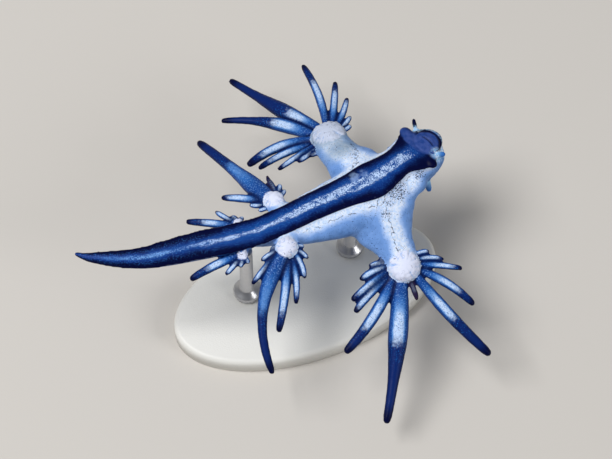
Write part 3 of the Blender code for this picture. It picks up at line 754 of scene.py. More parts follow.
class Relaxer:
    """Evens out values over a mesh by averaging each point with its neighbours."""

    def __init__(self, bm):
        bm.verts.index_update()
        pairs = np.array([[v.index for v in edge.verts] for edge in bm.edges])
        self.near = np.concatenate((pairs[:, 0], pairs[:, 1]))
        self.far = np.concatenate((pairs[:, 1], pairs[:, 0]))
        self.count = len(bm.verts)
        self.links = np.maximum(np.bincount(self.near, minlength=self.count), 1)

    def average(self, values):
        """Each point's mean of its neighbours' values."""
        columns = [np.bincount(self.near, column[self.far], self.count) for column in values.T]
        return np.stack(columns, 1) / self.links[:, None]

    def relax(self, values, rounds):
        """Moves values half way to their neighbours' mean, some rounds over."""
        for _ in range(rounds):
            values = values + (self.average(values) - values) * 0.5
        return values

    def relax_one(self, values, rounds):
        """The same for a single value at each point."""
        return self.relax(values[:, None], rounds)[:, 0]

    def even(self, values, rounds):
        """Removes steps and keeps the volume, by moving in and then out again."""
        for _ in range(rounds):
            values = values + (self.average(values) - values) * 0.5
            values = values - (self.average(values) - values) * 0.52
        return values


def tree_of(strand_list, kinds=None):
    """A search tree over the surface points of the strands of some kinds, and each point's strand."""
    chosen = [(k, s) for k, s in enumerate(strand_list) if kinds is None or s.kind in kinds]
    tree = kdtree.KDTree(sum(len(s.bm.verts) for _, s in chosen))
    owners = []
    for k, strand in chosen:
        for vert in strand.bm.verts:
            tree.insert(vert.co, len(owners))
            owners.append(k)
    tree.balance()
    return tree, owners


def along_line(points, line):
    """For each point, the share of the way along a line where it is nearest, and the place there."""
    line = np.array([list(p) for p in line])
    starts, spans = line[:-1], line[1:] - line[:-1]
    lengths = np.linalg.norm(spans, axis=1)
    before = np.concatenate(([0], np.cumsum(lengths)[:-1]))
    shares, places = [], []
    for block in np.array_split(points, max(1, len(points) // BLOCK)):
        offset = block[:, None, :] - starts[None]
        t = np.clip((offset * spans[None]).sum(2) / (lengths**2)[None], 0, 1)
        feet = starts[None] + spans[None] * t[:, :, None]
        best = np.linalg.norm(block[:, None, :] - feet, axis=2).argmin(1)
        rows = np.arange(len(block))
        shares.append((before[best] + lengths[best] * t[rows, best]) / lengths.sum())
        places.append(feet[rows, best])
    return np.concatenate(shares), np.concatenate(places)


def trunk_measures(points):
    """For each point: its distance along the trunk, across it and above the foot, the foot and depth."""
    share, _ = along_line(points, TRUNK.places)
    distance = share * TRUNK.length
    steps = np.linspace(0, TRUNK.length, SECTION_STEPS)
    sections = [section_at(d) for d in steps]
    columns = np.array([[*s.place, *s.side, *s.up, s.foot, s.depth] for s in sections])
    here = np.stack([np.interp(distance, steps, column) for column in columns.T], 1)
    offset = points - here[:, 0:3]
    across = (offset * here[:, 3:6]).sum(1)
    height = (offset * here[:, 6:9]).sum(1)
    return distance, across, height, here[:, 9], here[:, 10]


def side_of(points, line):
    """Each point's distance, seen from above, from a line of x and y, and below 0 on its left."""
    flat = points * (1, 1, 0)
    places = np.array([(x, y, 0.0) for x, y in line])
    _, near = along_line(flat, places)
    way = places[-1] - places[0]
    offset = flat - near
    return np.linalg.norm(offset, axis=1) * np.sign(offset[:, 0] * way[1] - offset[:, 1] * way[0])


def field(points, scale, seed):
    """Smooth noise from about -1 to 1 at each point, with features 1 / scale across."""
    shift = Vector((seed * 17.3, seed * 5.1, seed * 9.7))
    return np.array([noise.noise(Vector(p) * scale + shift) for p in points])


def line_at(values, width):
    """1 where values are 0, falling to 0 on both sides over about a width."""
    return np.exp(-((values / width) ** 2))


class Skin:
    """The whole skin as arrays: its points, what each belongs to, and the measures for its finish."""

    def __init__(self, grain):
        self.strands = strands()
        self.bm = drawn_over(joined(self.strands), grain)
        self.refine_head()
        self.relaxer = Relaxer(self.bm)
        self.points = self.relaxer.even(np.array([list(v.co) for v in self.bm.verts]), EVEN_ROUNDS)
        self.blend_joints()
        self.measure()
        self.shape_surface()
        self.paint_crease_shade()
        self.mesh = self.stored()

    def refine_head(self):
        """Halves the faces on the head's foot side, where the mouth is."""
        place, _ = mouth_frame()
        low = place.z - HEAD_DEPTH
        near = {v for v in self.bm.verts if (v.co - place).length < HEAD_REACH and v.co.z > low}
        edges = [e for e in self.bm.edges if e.verts[0] in near and e.verts[1] in near]
        bmesh.ops.subdivide_edges(self.bm, edges=edges, cuts=1, use_grid_fill=True)

    def away_from(self, kind):
        """Each point's distance from the surfaces of one kind of strand."""
        tree, _ = tree_of(self.strands, (kind,))
        return np.array([tree.find(Vector(p))[2] for p in self.points])

    def blend_joints(self):
        """Rounds the creases where arms leave the trunk and meet their pads."""
        trunk, stalk, pad, ceras = (self.away_from(kind) for kind in ("trunk", "stalk", "pad", "ceras"))
        _, across, height, foot, _ = trunk_measures(self.points)
        below = smooth(*BELOW_FOOT, -height) + smooth(*BESIDE_FOOT, np.abs(across) - foot)
        weight = np.exp(-(trunk**2 + stalk**2) / SHOULDER_BLEND**2)
        self.blend(weight * np.clip(below, 0, 1), SHOULDER_ROUNDS)
        weight = np.exp(-(stalk**2 + pad**2) / WRIST_BLEND**2)
        self.blend(weight * smooth(*CLEAR_OF_CERATA, ceras), WRIST_ROUNDS)

    def blend(self, weight, rounds):
        """Moves points towards a relaxed copy of the skin, by a weight each."""
        relaxed = self.relaxer.relax(self.points, rounds)
        weight = self.relaxer.relax(weight[:, None], BLEND_SPREAD)
        self.points = self.points + (relaxed - self.points) * weight

    def normals(self):
        """The skin's outward directions at its points."""
        for vert, place in zip(self.bm.verts, self.points):
            vert.co = place
        self.bm.normal_update()
        return np.array([list(v.normal) for v in self.bm.verts])

    def measure(self):
        """Finds each point's strand, and from it the measures that the finish reads."""
        tree, owners = tree_of(self.strands)
        self.owner = np.array([owners[tree.find(Vector(p))[1]] for p in self.points])
        self.kinds = np.array([s.kind for s in self.strands])[self.owner]
        self.layers = layers = {name: np.zeros(len(self.points)) for name in LAYERS}
        distance, across, height, foot, depth = trunk_measures(self.points)
        above = 2 * height + 1.2 * np.minimum(LIP_HEIGHT, THIN_LIP * depth)
        inside = np.where(self.kinds == "lobe", above, np.minimum(foot - np.abs(across), above))
        layers["sole"] = np.where(np.isin(self.kinds, OFF_TRUNK), -1.0, inside)
        layers["stripe"] = np.abs(across) / foot
        layers["along"] = distance / TRUNK.length
        down = np.hypot(np.minimum(height, 0), np.maximum(np.abs(across) - foot, 0))
        upper = self.relaxer.relax(self.normals(), UPPER_SPREAD)[:, 2]
        layers["white"] = self.white_share(down, distance, upper)
        layers["line"] = self.dark_lines(upper)
        self.measure_head(height)
        for index, strand in enumerate(self.strands):
            mask = self.owner == index
            if strand.kind == "pad":
                self.measure_pad(strand)
            elif strand.kind in ("ceras", "feeler") and mask.any():
                layers[strand.kind][mask] = 1.0
                self.measure_ceras(strand, mask)
            if strand.kind == "ceras" and mask.any():
                self.measure_gap(strand, mask)
        self.lay_patches()

    def round_mouth(self):
        """Each point in the mouth's frame: ahead and across as shares of its dome, and the height."""
        place, turn = mouth_frame()
        local = (self.points - np.array(place)) @ np.array(turn)
        return local[:, 0] / DOME_RADII[0], local[:, 1] / DOME_RADII[1], local[:, 2]

    def measure_head(self, height):
        """The veil round the mouth ahead of the foot, the painted shadow of the crescent before the mouth,
        and a pale rim.
        """
        ahead, side, _ = self.round_mouth()
        reach = np.hypot(ahead, side)
        facing = ahead / np.maximum(reach, TINY)
        beyond = side_of(self.points, FOOT_EDGE) + VEIL_WAVE * field(self.points, 1.6, 8)
        top = smooth(-1.3, -0.8, height) * (self.kinds != "feeler")
        inner = CRESCENT[1]
        covered = 1 - smooth(inner, inner + 0.1, reach) * smooth(-0.35, 0.1, facing)
        self.layers["veil"] = smooth(-0.1, 0.1, beyond) * covered * top * (1 - smooth(1.2, 1.5, -side))
        self.layers["crescent_shadow"] = between(*CRESCENT, reach) * smooth(0.1, 0.55, facing) * top
        self.layers["pale"] = 0.7 * between(*CRESCENT_RIM, reach) * smooth(0.1, 0.5, facing) * top
        self.layers["front"] = smooth(-FRONT_DARK, -0.4, beyond) * smooth(0.15, 0.6, self.layers["stripe"])

    def measure_pad(self, strand):
        """A pad's tufts, in rays that grow towards its ragged rim."""
        offset = self.points - np.array(strand.line[0])
        rise = offset @ np.array(strand.up)
        flat = offset - rise[:, None] * np.array(strand.up)
        reach = np.linalg.norm(flat, axis=1) / strand.size
        widest, lowest, highest = PAD_ZONE
        mask = (reach < widest) & (rise > lowest * strand.size) & (rise < highest * strand.size)
        ways = flat[mask] / np.maximum(np.linalg.norm(flat[mask], axis=1), TINY)[:, None]
        tuft = field(ways * TUFT_RAYS, 1.0, 7) + 0.5 * field(self.points[mask], 4.0, 6)
        edge = reach[mask] - TUFT_REACH * tuft
        self.layers["pad"][mask] = np.maximum(self.layers["pad"][mask], 1 - smooth(*PAD_RIM, edge))
        self.layers["tuft"][mask] = tuft * smooth(*TUFT_START, reach[mask])

    def white_share(self, down, distance, upper):
        """How white the skin is: near the foot's margin, and down the middle of each arm to its pad."""
        wider = 1 - 0.4 * smooth(*NECK_PALE, distance) + 1.4 * smooth(*HEAD_PALE, distance)
        white = 1 - smooth(*WHITE_BAND, down * wider)
        white *= smooth(*WHITE_START, distance / TRUNK.length)
        middle = np.zeros(len(self.points))
        for line, (left, right) in WHITE_LINES:
            off = side_of(self.points, line)
            here = 1 - smooth(right, right + BAND_FADE, off)
            middle = np.maximum(middle, here * (1 - smooth(left, left + BAND_FADE, -off)))
        stalk = self.kinds == "stalk"
        for index in np.unique(self.owner[stalk]):
            mask = self.owner == index
            share, _ = along_line(self.points[mask], self.strands[index].line)
            white[mask] = np.maximum(white[mask] * (1 - share), ARM_PALE)
        white[stalk] = np.maximum(white[stalk], (middle * smooth(-0.1, 0.4, upper))[stalk])
        white[self.kinds == "pad"] = 1.0
        white[self.kinds == "ceras"] = CERAS_PALE
        return self.relaxer.relax_one(white, WHITE_SPREAD)

    def dark_lines(self, upper):
        """Each point's way from the arms' dark lines, to the left or right of them, on the upper side."""
        found = np.full(len(self.points), LINE_REACH)
        for line in DARK_LINES:
            away = side_of(self.points, line)
            found = np.where(np.abs(away) < np.abs(found), away, found)
        return np.where((self.layers["sole"] < 0) & (upper > 0), found, LINE_REACH)

    def measure_ceras(self, strand, mask):
        """How far along and round its own line each point of a ceras or feeler is."""
        points, start = self.points[mask], strand.start
        share, places = along_line(points, strand.line)
        offset = points - places
        way = (strand.line[-1] - strand.line[0]).normalized()
        lit = (Vector(STREAK_SIDE) - way * way.dot(Vector(STREAK_SIDE))).normalized()
        short = strand.size <= SHORT_CERAS
        rising = smooth(0, 0.3, share) if short else smooth(0.1 * start, 0.75 * start, share)
        self.layers["silver"][mask] = rising * strand.silver
        away = np.maximum(np.linalg.norm(offset, axis=1), TINY)
        # Share of the way round towards the light: the streak lies there, and the far side gets painted
        # shade
        self.layers["crest"][mask] = (offset @ np.array(lit)) / away
        self.layers["reach"][mask] = share
        self.layers["navy"][mask] = (share - start) * max(strand.size, LEAST_REACH)
        self.layers["thin"][mask] = strand.dark

    def measure_gap(self, strand, mask):
        """How close each point of a ceras is to the next ceras, for the painted shade in the dark lines
        between them.
        """
        near = [
            other
            for other in self.strands
            if other.kind == "ceras"
            and other is not strand
            and (other.line[0] - strand.line[0]).length < FAN_REACH
        ]
        tree, _ = tree_of(near)
        away = np.array([tree.find(Vector(p))[2] for p in self.points[mask]])
        self.layers["gap"][mask] = 1 - smooth(*GAP_SHADE_REACH, away)

    def lay_patches(self):
        """Round patches of haze, white and dots, and of painted shade on the far front arm, softer towards
        their rims.
        """
        for kind, x, y, rise, radius in PATCHES:
            away = np.linalg.norm(self.points - np.array([x, y, FOOT_HEIGHT + rise]), axis=1)
            share = 1 - smooth(0.5 * radius, 1.2 * radius, away)
            share[self.kinds == "ceras"] = 0
            self.layers[kind] = np.maximum(self.layers[kind], share)

    def shape_surface(self):
        """Adds the fine forms: folds of the flank, tufts of the pads, knobbly cerata and the mouth."""
        points, layers = self.points, self.layers
        flank = ~np.isin(self.kinds, OFF_TRUNK) * (layers["sole"] < 0) * (1 - layers["veil"])
        flank = flank * smooth(*FOLDS_START, layers["along"])
        creases = CREASE_DEPTH * line_at(field(points, 1.1, 2), 0.09)
        lift = flank * (FOLD_DEPTH * field(points, 0.9, 1) - creases)
        lift += flank * GRAIN_DEPTH * field(points, 3.2, 3)
        lift += (layers["sole"] > 0) * GRAIN_DEPTH * field(points, 1.4, 4)
        lift += layers["ceras"] * CERAS_KNOB * field(points, 2.4, 5)
        lift += layers["pad"] * TUFT_HEIGHT * layers["tuft"]
        lift += self.lips()
        self.points = points + self.normals() * self.relaxer.relax(lift[:, None], 1)

    def lips(self):
        """The mouth: a groove round its dome, two lips and the line between them, and radial folds."""
        ahead, side, height = self.round_mouth()
        near = (height > 0) * (self.kinds != "feeler")
        reach = np.hypot(ahead, side)
        bent = ahead + 0.25 * side * side - 0.08
        line = line_at(bent, 0.06) * (1 - smooth(0.42, 0.6, np.abs(side)))
        lip = line_at(np.abs(bent) - 0.17, 0.1) * (1 - smooth(0.35, 0.65, np.abs(side)))
        folds = np.cos(np.arctan2(side, ahead) * FOLD_COUNT) * between(*LIP_ZONE, reach)
        self.layers["crack"] = near * line
        groove = -RIM_GROOVE * line_at(reach - 1.02, 0.09)
        return near * (groove - LIP_LINE * line + LIP_RISE * lip + LIP_FOLDS * folds)

    def paint_crease_shade(self):
        """How far the skin curves inwards at each point, for the painted shade in the creases between
        cerata.
        """
        inwards = self.relaxer.average(self.points) - self.points
        crease_shade = (inwards * self.normals()).sum(1)
        self.layers["crease_shade"] = smooth(*CREASE_SHADE_RANGE, self.relaxer.relax_one(crease_shade, 2))

    def stored(self):
        """A mesh with the shaped points and the measures, in metres."""
        for vert, place in zip(self.bm.verts, self.points):
            vert.co = Vector(place) * MM
        mesh = mesh_from("slug_skin", self.bm)
        for name, values in self.layers.items():
            layer = mesh.attributes.new(name, "FLOAT", "POINT")
            layer.data.foreach_set("value", values.astype(np.float32))
        return mesh


class Share:
    """A value or colour from a finish's nodes. Values take plain arithmetic."""

    def __init__(self, finish, socket):
        self.finish = finish
        self.socket = socket

    def __add__(self, other):
        return self.finish.sum("ADD", self, other)

    def __sub__(self, other):
        return self.finish.sum("SUBTRACT", self, other)

    def __rsub__(self, other):
        return self.finish.sum("SUBTRACT", other, self)

    def __mul__(self, other):
        return self.finish.sum("MULTIPLY", self, other)

    def __abs__(self):
        return self.finish.sum("ABSOLUTE", self, 0.0)


class Finish:
    """A material under construction, with short ways to add its nodes. Its noise is in millimetres."""

    def __init__(self, name, stretch=(1.0, 1.0, 1.0)):
        self.material = bpy.data.materials.new(name)
        self.material.use_nodes = True
        self.tree = self.material.node_tree
        where = self.add("TexCoord", "Object", {})
        scale = [share / MM for share in stretch]
        self.place = self.add("VectorMath", 0, {0: where, 1: scale}, operation="MULTIPLY")

    def join(self, value, socket):
        """Links a share to a socket, or sets the socket to a plain value."""
        if isinstance(value, Share):
            self.tree.links.new(value.socket, socket)
        else:
            socket.default_value = value

    def add(self, kind, output, inputs, **settings):
        """An output of a new node, with its settings made and its inputs joined."""
        node = self.tree.nodes.new("ShaderNode" + kind)
        for name, setting in settings.items():
            setattr(node, name, setting)
        for name, value in inputs.items():
            self.join(value, node.inputs[name])
        return Share(self, node.outputs[output])

    def layer(self, name):
        """One of the skin's own measures."""
        return self.add("Attribute", "Fac", {}, attribute_name=name)

    def sum(self, operation, a, b):
        """A sum of two values by its Blender name, such as ADD or MULTIPLY."""
        return self.add("Math", 0, {0: a, 1: b}, operation=operation)

    def rise(self, value, low, high):
        """0 where the value is at low, 1 where it is at high, and smooth between."""
        (start, first), (end, last) = sorted(((low, 0.0), (high, 1.0)))
        inputs = {"Value": value, "From Min": start, "From Max": end, "To Min": first, "To Max": last}
        return self.add("MapRange", "Result", inputs, interpolation_type="SMOOTHSTEP")

    def mix(self, share, a, b):
        """Colour a where the share is 0 and colour b where it is 1."""
        return self.add("Mix", 2, {0: share, 6: a, 7: b}, data_type="RGBA")

    def coats(self, colour, *coats):
        """A colour with others laid over it in turn, each by its own share."""
        for share, over in coats:
            colour = self.mix(share, colour, over)
        return colour

    def noise(self, scale, detail=2.0, rough=0.5):
        """Clouds about 0.5, with features of 1 / scale millimetres."""
        inputs = {"Vector": self.place, "Scale": scale, "Detail": detail, "Roughness": rough}
        return self.add("TexNoise", "Fac", inputs)

    def cloud(self, scale, detail=2.0, rough=0.5):
        """The same clouds about 0."""
        return self.noise(scale, detail, rough) - 0.5

    def specks(self, scale, cover, soft=0.05):
        """Specks of 1 / scale millimetres, more of them as the cover goes from 0 to 1."""
        return self.rise(self.noise(scale, 1.0) - (0.82 - cover * 0.45), -soft, soft)

    def veins(self, scale, width):
        """Thin wandering lines."""
        return self.rise(abs(self.cloud(scale, 1.5)), width, width * 0.4)

    def relief(self, height, depth):
        """Fine relief in the shader's own shading, its depth in millimetres."""
        return self.add("Bump", "Normal", {"Strength": 1.0, "Distance": depth * MM, "Height": height})

    def shaded(self, sockets):
        """The finished material, with the sockets of its shader joined by name."""
        for name, value in sockets.items():
            self.join(value, self.tree.nodes["Principled BSDF"].inputs[name])
        return self.material


def darker(colour, share):
    """A colour at a share of its brightness."""
    return [channel * share for channel in colour[:3]] + [1]


def sole_colour(m, looks):
    """The foot's sole: near black margins, deep blue inside, a faint cyan streak that is partly painted
    highlight, and a midline of silver specks.
    """
    along = m.layer("along")
    stripe = m.layer("stripe") + m.cloud(0.8, 3.0) * 0.5
    edge = stripe + m.rise(along, 0.45, 0.3) * 0.2
    ends = m.rise(along, 0.02, 0.1) * m.rise(along, 0.92, 0.86)
    width = m.rise(along, 0.42, 0.62) * 0.12 + 0.3
    lively = m.rise(m.noise(1.6, 3.0), 0.32, 0.62)
    cover = m.rise(width - stripe, 0.0, 0.24) * ends * (lively * 0.36 + 0.5)
    speck = m.mix(m.rise(along, 0.06, 0.2), looks.azure, looks.streak)
    return m.coats(
        looks.margin,
        (m.rise(edge, 0.82, 0.38), looks.royal),
        (m.specks(11.0, 0.48) * m.rise(stripe, 0.85, 0.4) * 0.6, looks.azure),
        # A faint cyan streak down the midline: partly the sole's own bright blue, partly painted highlight
        # along its crown
        (m.rise(edge, 0.6, 0.1) * ends * 0.3, looks.cyan),
        (cover * lively * 0.18, looks.flank),
        (m.specks(12.5, cover) * 0.95, m.mix(m.rise(along, 0.24, 0.4), speck, looks.silver)),
        (m.layer("haze") * m.rise(m.noise(2.2, 3.0), 0.35, 0.65) * 0.6, looks.mist),
        (m.layer("front") * 0.92, looks.margin),
    )


def flank_colour(m, looks):
    """The flanks and arms: white by the foot, blue lower down, with dark specks, fine scribbles and the
    painted shadow of the foot's lip.
    """
    along = m.layer("along")
    dots = m.layer("dots")
    white = m.layer("white") + m.cloud(0.9, 5.0, 0.6) * 0.8
    fore = m.rise(along, 0.5, 0.6)
    edge = abs(m.layer("sole") + (m.noise(1.5, 3.0) + 0.1))
    line = abs(m.layer("line") + m.cloud(2.6, 3.0) * 1.1)
    return m.coats(
        looks.slate,
        (m.rise(white, -0.2, 0.22), looks.flank),
        (m.rise(white, 0.25, 0.6), looks.mist),
        (m.rise(white, 0.5, 0.95), m.mix(m.rise(m.noise(5.0, 3.0), 0.38, 0.58), looks.silver, looks.white)),
        (m.rise(along, 0.5, 0.38), m.mix(m.specks(8.0, 0.6) * 0.7, looks.royal, looks.cyan)),
        # Painted shade over the far front arm
        (m.layer("far_arm_shade") * 0.75, looks.shade),
        (dots * m.noise(1.5, 3.0) * 0.45, looks.flank),
        (m.specks(9.0, dots * 0.62) * m.rise(dots, 0.0, 0.3) * 0.95, looks.margin),
        (m.specks(10.0, 0.26) * fore * 0.8, looks.margin),
        (m.veins(1.5, 0.009) * m.rise(m.noise(0.9), 0.54, 0.62) * fore * 0.85, looks.margin),
        # Painted shadow of the foot's overhanging lip: broken navy dashes just below the margin
        (m.rise(edge, 0.06, 0.02) * m.rise(m.noise(1.1), 0.48, 0.56) * fore * 0.75, looks.navy),
        (m.rise(line, 0.045, 0.02) * 0.85, looks.margin),
    )


def ceras_colour(m, looks):
    """A ceras: dark edges, partly its own navy and partly painted shade on the side turned from the light,
    mid blue sides, a silver streak on its crest and a navy tip.
    """
    crest, silver, navy = m.layer("crest"), m.layer("silver"), m.layer("navy")
    lit = silver * m.rise(crest, 0.62, 0.98)
    lit += m.cloud(3.0, 3.0) * 0.6 * m.rise(crest, 0.5, 0.85) * silver
    start = m.rise(navy + m.cloud(3.5, 3.0) * 1.4, -0.6, 0.6)
    tip = m.coats(
        looks.navy,
        # The tip lighter on the side towards the light: painted light over its own navy
        (m.rise(crest, 0.3, 0.95), looks.deep),
        (m.specks(8.0, 0.42) * m.rise(navy, 3.0, 0.3) * 0.7, looks.cyan),
        (m.rise(m.layer("reach"), 0.84, 0.96), looks.tip),
    )
    return m.coats(
        # Dark navy on the side turned from the light, lighter towards it: partly the ceras's own navy edge,
        # partly painted shade
        looks.navy,
        (m.rise(crest, 0.0, 0.6), looks.ceras),
        (m.rise(lit, 0.0, 0.35), looks.azure),
        (m.rise(lit, 0.25, 0.65), looks.streak),
        (m.rise(lit, 0.55, 0.95), looks.silver),
        (m.specks(9.0, 0.46) * m.rise(crest, 0.35, 0.8) * 0.7, looks.streak),
        (m.veins(3.5, 0.02) * m.rise(lit, 0.2, 0.5) * 0.5, looks.ceras),
        (m.specks(10.0, 0.36) * 0.6, looks.navy),
        (start, tip),
        # Painted shade where cerata crowd each other
        (m.layer("gap") * 0.85, looks.navy),
        # Painted shade in the creases between cerata
        (m.layer("crease_shade") * 0.8, looks.navy),
        (m.rise(crest, -0.45, -0.85) * (1.0 - start) * 0.55, looks.slate),
        (m.layer("thin") * 0.85, looks.brown),
    )


def pad_colour(m, looks):
    """A pad's white tufts, with painted shade in blue between them and a few dark scribbles."""
    tuft = m.layer("tuft") + m.cloud(7.0) * 0.8
    return m.coats(
        looks.mist,
        # Painted shade in the grooves between the raised tufts
        (m.rise(tuft, -0.75, 0.0), looks.pad),
        # Painted shade over the far front pad
        (m.layer("far_arm_shade") * 0.35, looks.shade),
        (m.veins(2.4, 0.012) * m.rise(m.noise(1.1), 0.5, 0.6) * 0.8, looks.navy),
    )


def skin_finish(looks):
    """Wet mottled skin, its colours laid out by the measures that the skin carries."""
    m = Finish("slug_skin")
    feeler = m.mix(m.rise(m.layer("reach"), 0.4, 1.0), looks.pale, looks.azure)
    violet = m.mix(m.rise(m.noise(1.8, 3.0), 0.35, 0.65), looks.violet, looks.lilac)
    pale = m.mix(m.specks(6.0, 0.6), looks.pale, looks.white)
    colour = m.coats(
        flank_colour(m, looks),
        (m.rise(m.layer("sole"), -0.03, 0.03), sole_colour(m, looks)),
        (m.rise(m.layer("ceras"), 0.3, 0.8), ceras_colour(m, looks)),
        (m.layer("pad"), pad_colour(m, looks)),
        (m.layer("feeler"), m.mix(m.layer("thin"), feeler, looks.tip)),
        (m.layer("veil") * 0.94, violet),
        (m.layer("pale") * m.rise(m.noise(4.0), 0.3, 0.5) * 0.9, pale),
        # Painted shadow of the crescent between the mouth and its pale rim, in near black
        (m.layer("crescent_shadow") * 0.92, looks.margin),
        (m.layer("crack") * 0.8, looks.tip),
    )
    sockets = {"Base Color": colour, "Roughness": m.noise(3.0) * 0.2 + 0.24}
    sockets["Normal"] = m.relief(m.noise(11.0, 3.0), 0.02)
    return m.shaded({**sockets, "IOR": 1.33, "Specular IOR Level": 0.13})


def base_finish(looks):
    """Satin cast resin with faint clouds and a fine grain."""
    m = Finish("satin_base")
    colour = m.mix(m.noise(0.25, 3.0), looks.base, darker(looks.base, 0.93))
    sockets = {"Base Color": colour, "Roughness": m.noise(2.0) * 0.15 + 0.38}
    return m.shaded({**sockets, "Normal": m.relief(m.noise(8.0, 4.0), 0.02)})


def steel_finish(looks):
    """Steel brushed round the rod: fine rings of lighter and darker grain."""
    m = Finish("brushed_rod", (0.4, 0.4, 14.0))
    grain = m.noise(1.0, 3.0)
    colour = m.mix(grain, darker(looks.steel, 0.8), looks.steel)
    sockets = {"Base Color": colour, "Roughness": grain * 0.25 + 0.2, "Metallic": 1.0}
    return m.shaded({**sockets, "Normal": m.relief(grain, 0.01)})


def floor_finish(looks):
    """Plain pale paper, faintly uneven."""
    m = Finish("pale_floor")
    colour = m.mix(m.noise(0.02), looks.floor, darker(looks.floor, 0.97))
    return m.shaded({"Base Color": colour, "Roughness": 0.9})


def colour_of(name, description, value):
    """A colour that a user can change."""
    return FloatVectorProperty(
        name=name, description=description, default=(*value, 1), size=4, min=0, max=1, subtype="COLOR"
    )


def length_of(name, description, value, low, high):
    """A length that a user can change, in metres."""
    return FloatProperty(
        name=name, description=description, default=value, min=low, max=high, precision=6, unit="LENGTH"
    )


class SlugSkinLooks(bpy.types.PropertyGroup):
    """Sizes and colours of the skin."""

    grain: length_of("Grain", "Size of the skin's faces", 0.00012, 0.00008, 0.0005)
    royal: colour_of("Royal", "Blue of the sole", (0.004, 0.029, 0.19))
    # Also the painted shadow of the crescent before the mouth
    margin: colour_of("Margin", "Near black of the sole's edge", (0.0006, 0.0018, 0.028))
    silver: colour_of("Silver", "Silver of the specks and streaks", (0.52, 0.67, 0.92))
    streak: colour_of("Streak", "Light blue round the silver streaks", (0.16, 0.34, 0.70))
    white: colour_of("White", "White of the upper flanks", (0.71, 0.79, 0.94))
    flank: colour_of("Flank", "Blue of the lower flanks", (0.16, 0.31, 0.66))
    # Also the painted shade between the tufts of the pads
    mist: colour_of("Mist", "Light blue between white and blue", (0.32, 0.48, 0.82))
    slate: colour_of("Slate", "Grey blue of the underside", (0.07, 0.165, 0.40))
    # Painted shade of the far front arm
    shade: colour_of("Shade", "Dull blue of the far front arm", (0.19, 0.28, 0.38))
    ceras: colour_of("Ceras", "Blue of the sides of the cerata", (0.008, 0.058, 0.27))
    azure: colour_of("Azure", "Clear blue beside the silver streaks", (0.028, 0.14, 0.46))
    # Also painted shade: the cerata's sides turned from the light, the gaps and creases between cerata, and
    # the dashes under the foot's lip
    navy: colour_of("Navy", "Dark blue of the edges of the cerata", (0.001, 0.007, 0.06))
    deep: colour_of("Deep", "Blue of the cerata beyond their streak", (0.0035, 0.018, 0.125))
    tip: colour_of("Tip", "Near black of the tips of the cerata", (0.0008, 0.0028, 0.032))
    brown: colour_of("Brown", "Purple brown of the two thin cerata", (0.022, 0.010, 0.03))
    # Also, in the faint streak down the sole's midline, partly painted highlight
    cyan: colour_of("Cyan", "Bright blue specks of the tail", (0.016, 0.15, 0.50))
    pad: colour_of("Pad", "White of the pads", (0.72, 0.76, 0.93))
    violet: colour_of("Violet", "Dark violet round the mouth", (0.018, 0.052, 0.23))
    lilac: colour_of("Lilac", "Lighter violet round the mouth", (0.045, 0.082, 0.29))
    pale: colour_of("Pale", "Pale blue beside the mouth", (0.305, 0.578, 0.871))


class SlugStandLooks(bpy.types.PropertyGroup):
    """Sizes and colours of the stand."""

    bevel: length_of("Edge", "Radius of the base's upper edge", 0.00045, 0.0001, 0.0007)
    rod_radius: length_of("Rod radius", "Radius of the two rods", 0.0006, 0.0003, 0.0006)
    base: colour_of("Base", "Off-white of the base", (0.78, 0.77, 0.73))
    steel: colour_of("Steel", "Grey of the rods", (0.62, 0.62, 0.64))


class SlugStageLooks(bpy.types.PropertyGroup):
    """Light, floor and backdrop."""

    light: FloatProperty(
        name="Light", description="Strength of the main light", default=2.45, min=0, max=10, unit="POWER"
    )
    sky: FloatProperty(
        name="Sky", description="Strength of the light from all round", default=0.22, min=0, max=5
    )
    floor: colour_of("Floor", "Colour of the floor", (0.60, 0.57, 0.53))


class SLUG_OT_skin(bpy.types.Operator):
    """Draw one skin over the trunk, arms, cerata, feelers and mouth"""

    bl_idname = "slug.skin"
    bl_label = "Skin"

    def execute(self, context):
        looks = context.scene.slug_skin
        piece = placed("slug_skin", Skin(looks.grain / MM).mesh, skin_finish(looks))
        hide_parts(*[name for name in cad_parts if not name.startswith("stand_")])
        return {"FINISHED"}


class SLUG_OT_base(bpy.types.Operator):
    """Turn the stand's oval base, with its rounded upper edge"""

    bl_idname = "slug.base"
    bl_label = "Base"

    def execute(self, context):
        looks = context.scene.slug_stand
        low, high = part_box("stand_base")
        bm = bmesh.new()
        bmesh.ops.create_circle(bm, cap_ends=True, segments=BASE_SEGMENTS, radius=1)
        bmesh.ops.scale(bm, vec=(BASE_RADII[0] * MM, BASE_RADII[1] * MM, 1), verts=bm.verts)
        bmesh.ops.rotate(bm, matrix=Matrix.Rotation(math.radians(BASE_TURN), 3, "Z"), verts=bm.verts)
        bmesh.ops.translate(bm, vec=((low.x + high.x) / 2, (low.y + high.y) / 2, low.z), verts=bm.verts)
        made = bmesh.ops.extrude_face_region(bm, geom=bm.faces[:])["geom"]
        top = [v for v in made if isinstance(v, bmesh.types.BMVert)]
        bmesh.ops.translate(bm, vec=(0, 0, high.z - low.z), verts=top)
        rim = [e for e in bm.edges if all(v.co.z > high.z - MM / 10 for v in e.verts)]
        bmesh.ops.bevel(
            bm, geom=rim, offset=looks.bevel, segments=BEVEL_STEPS, profile=0.5, affect="EDGES", material=-1
        )
        bmesh.ops.recalc_face_normals(bm, faces=bm.faces)
        piece = placed("stand_base_cast", mesh_from("stand_base_cast", bm), base_finish(looks))
        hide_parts("stand_base")
        return {"FINISHED"}


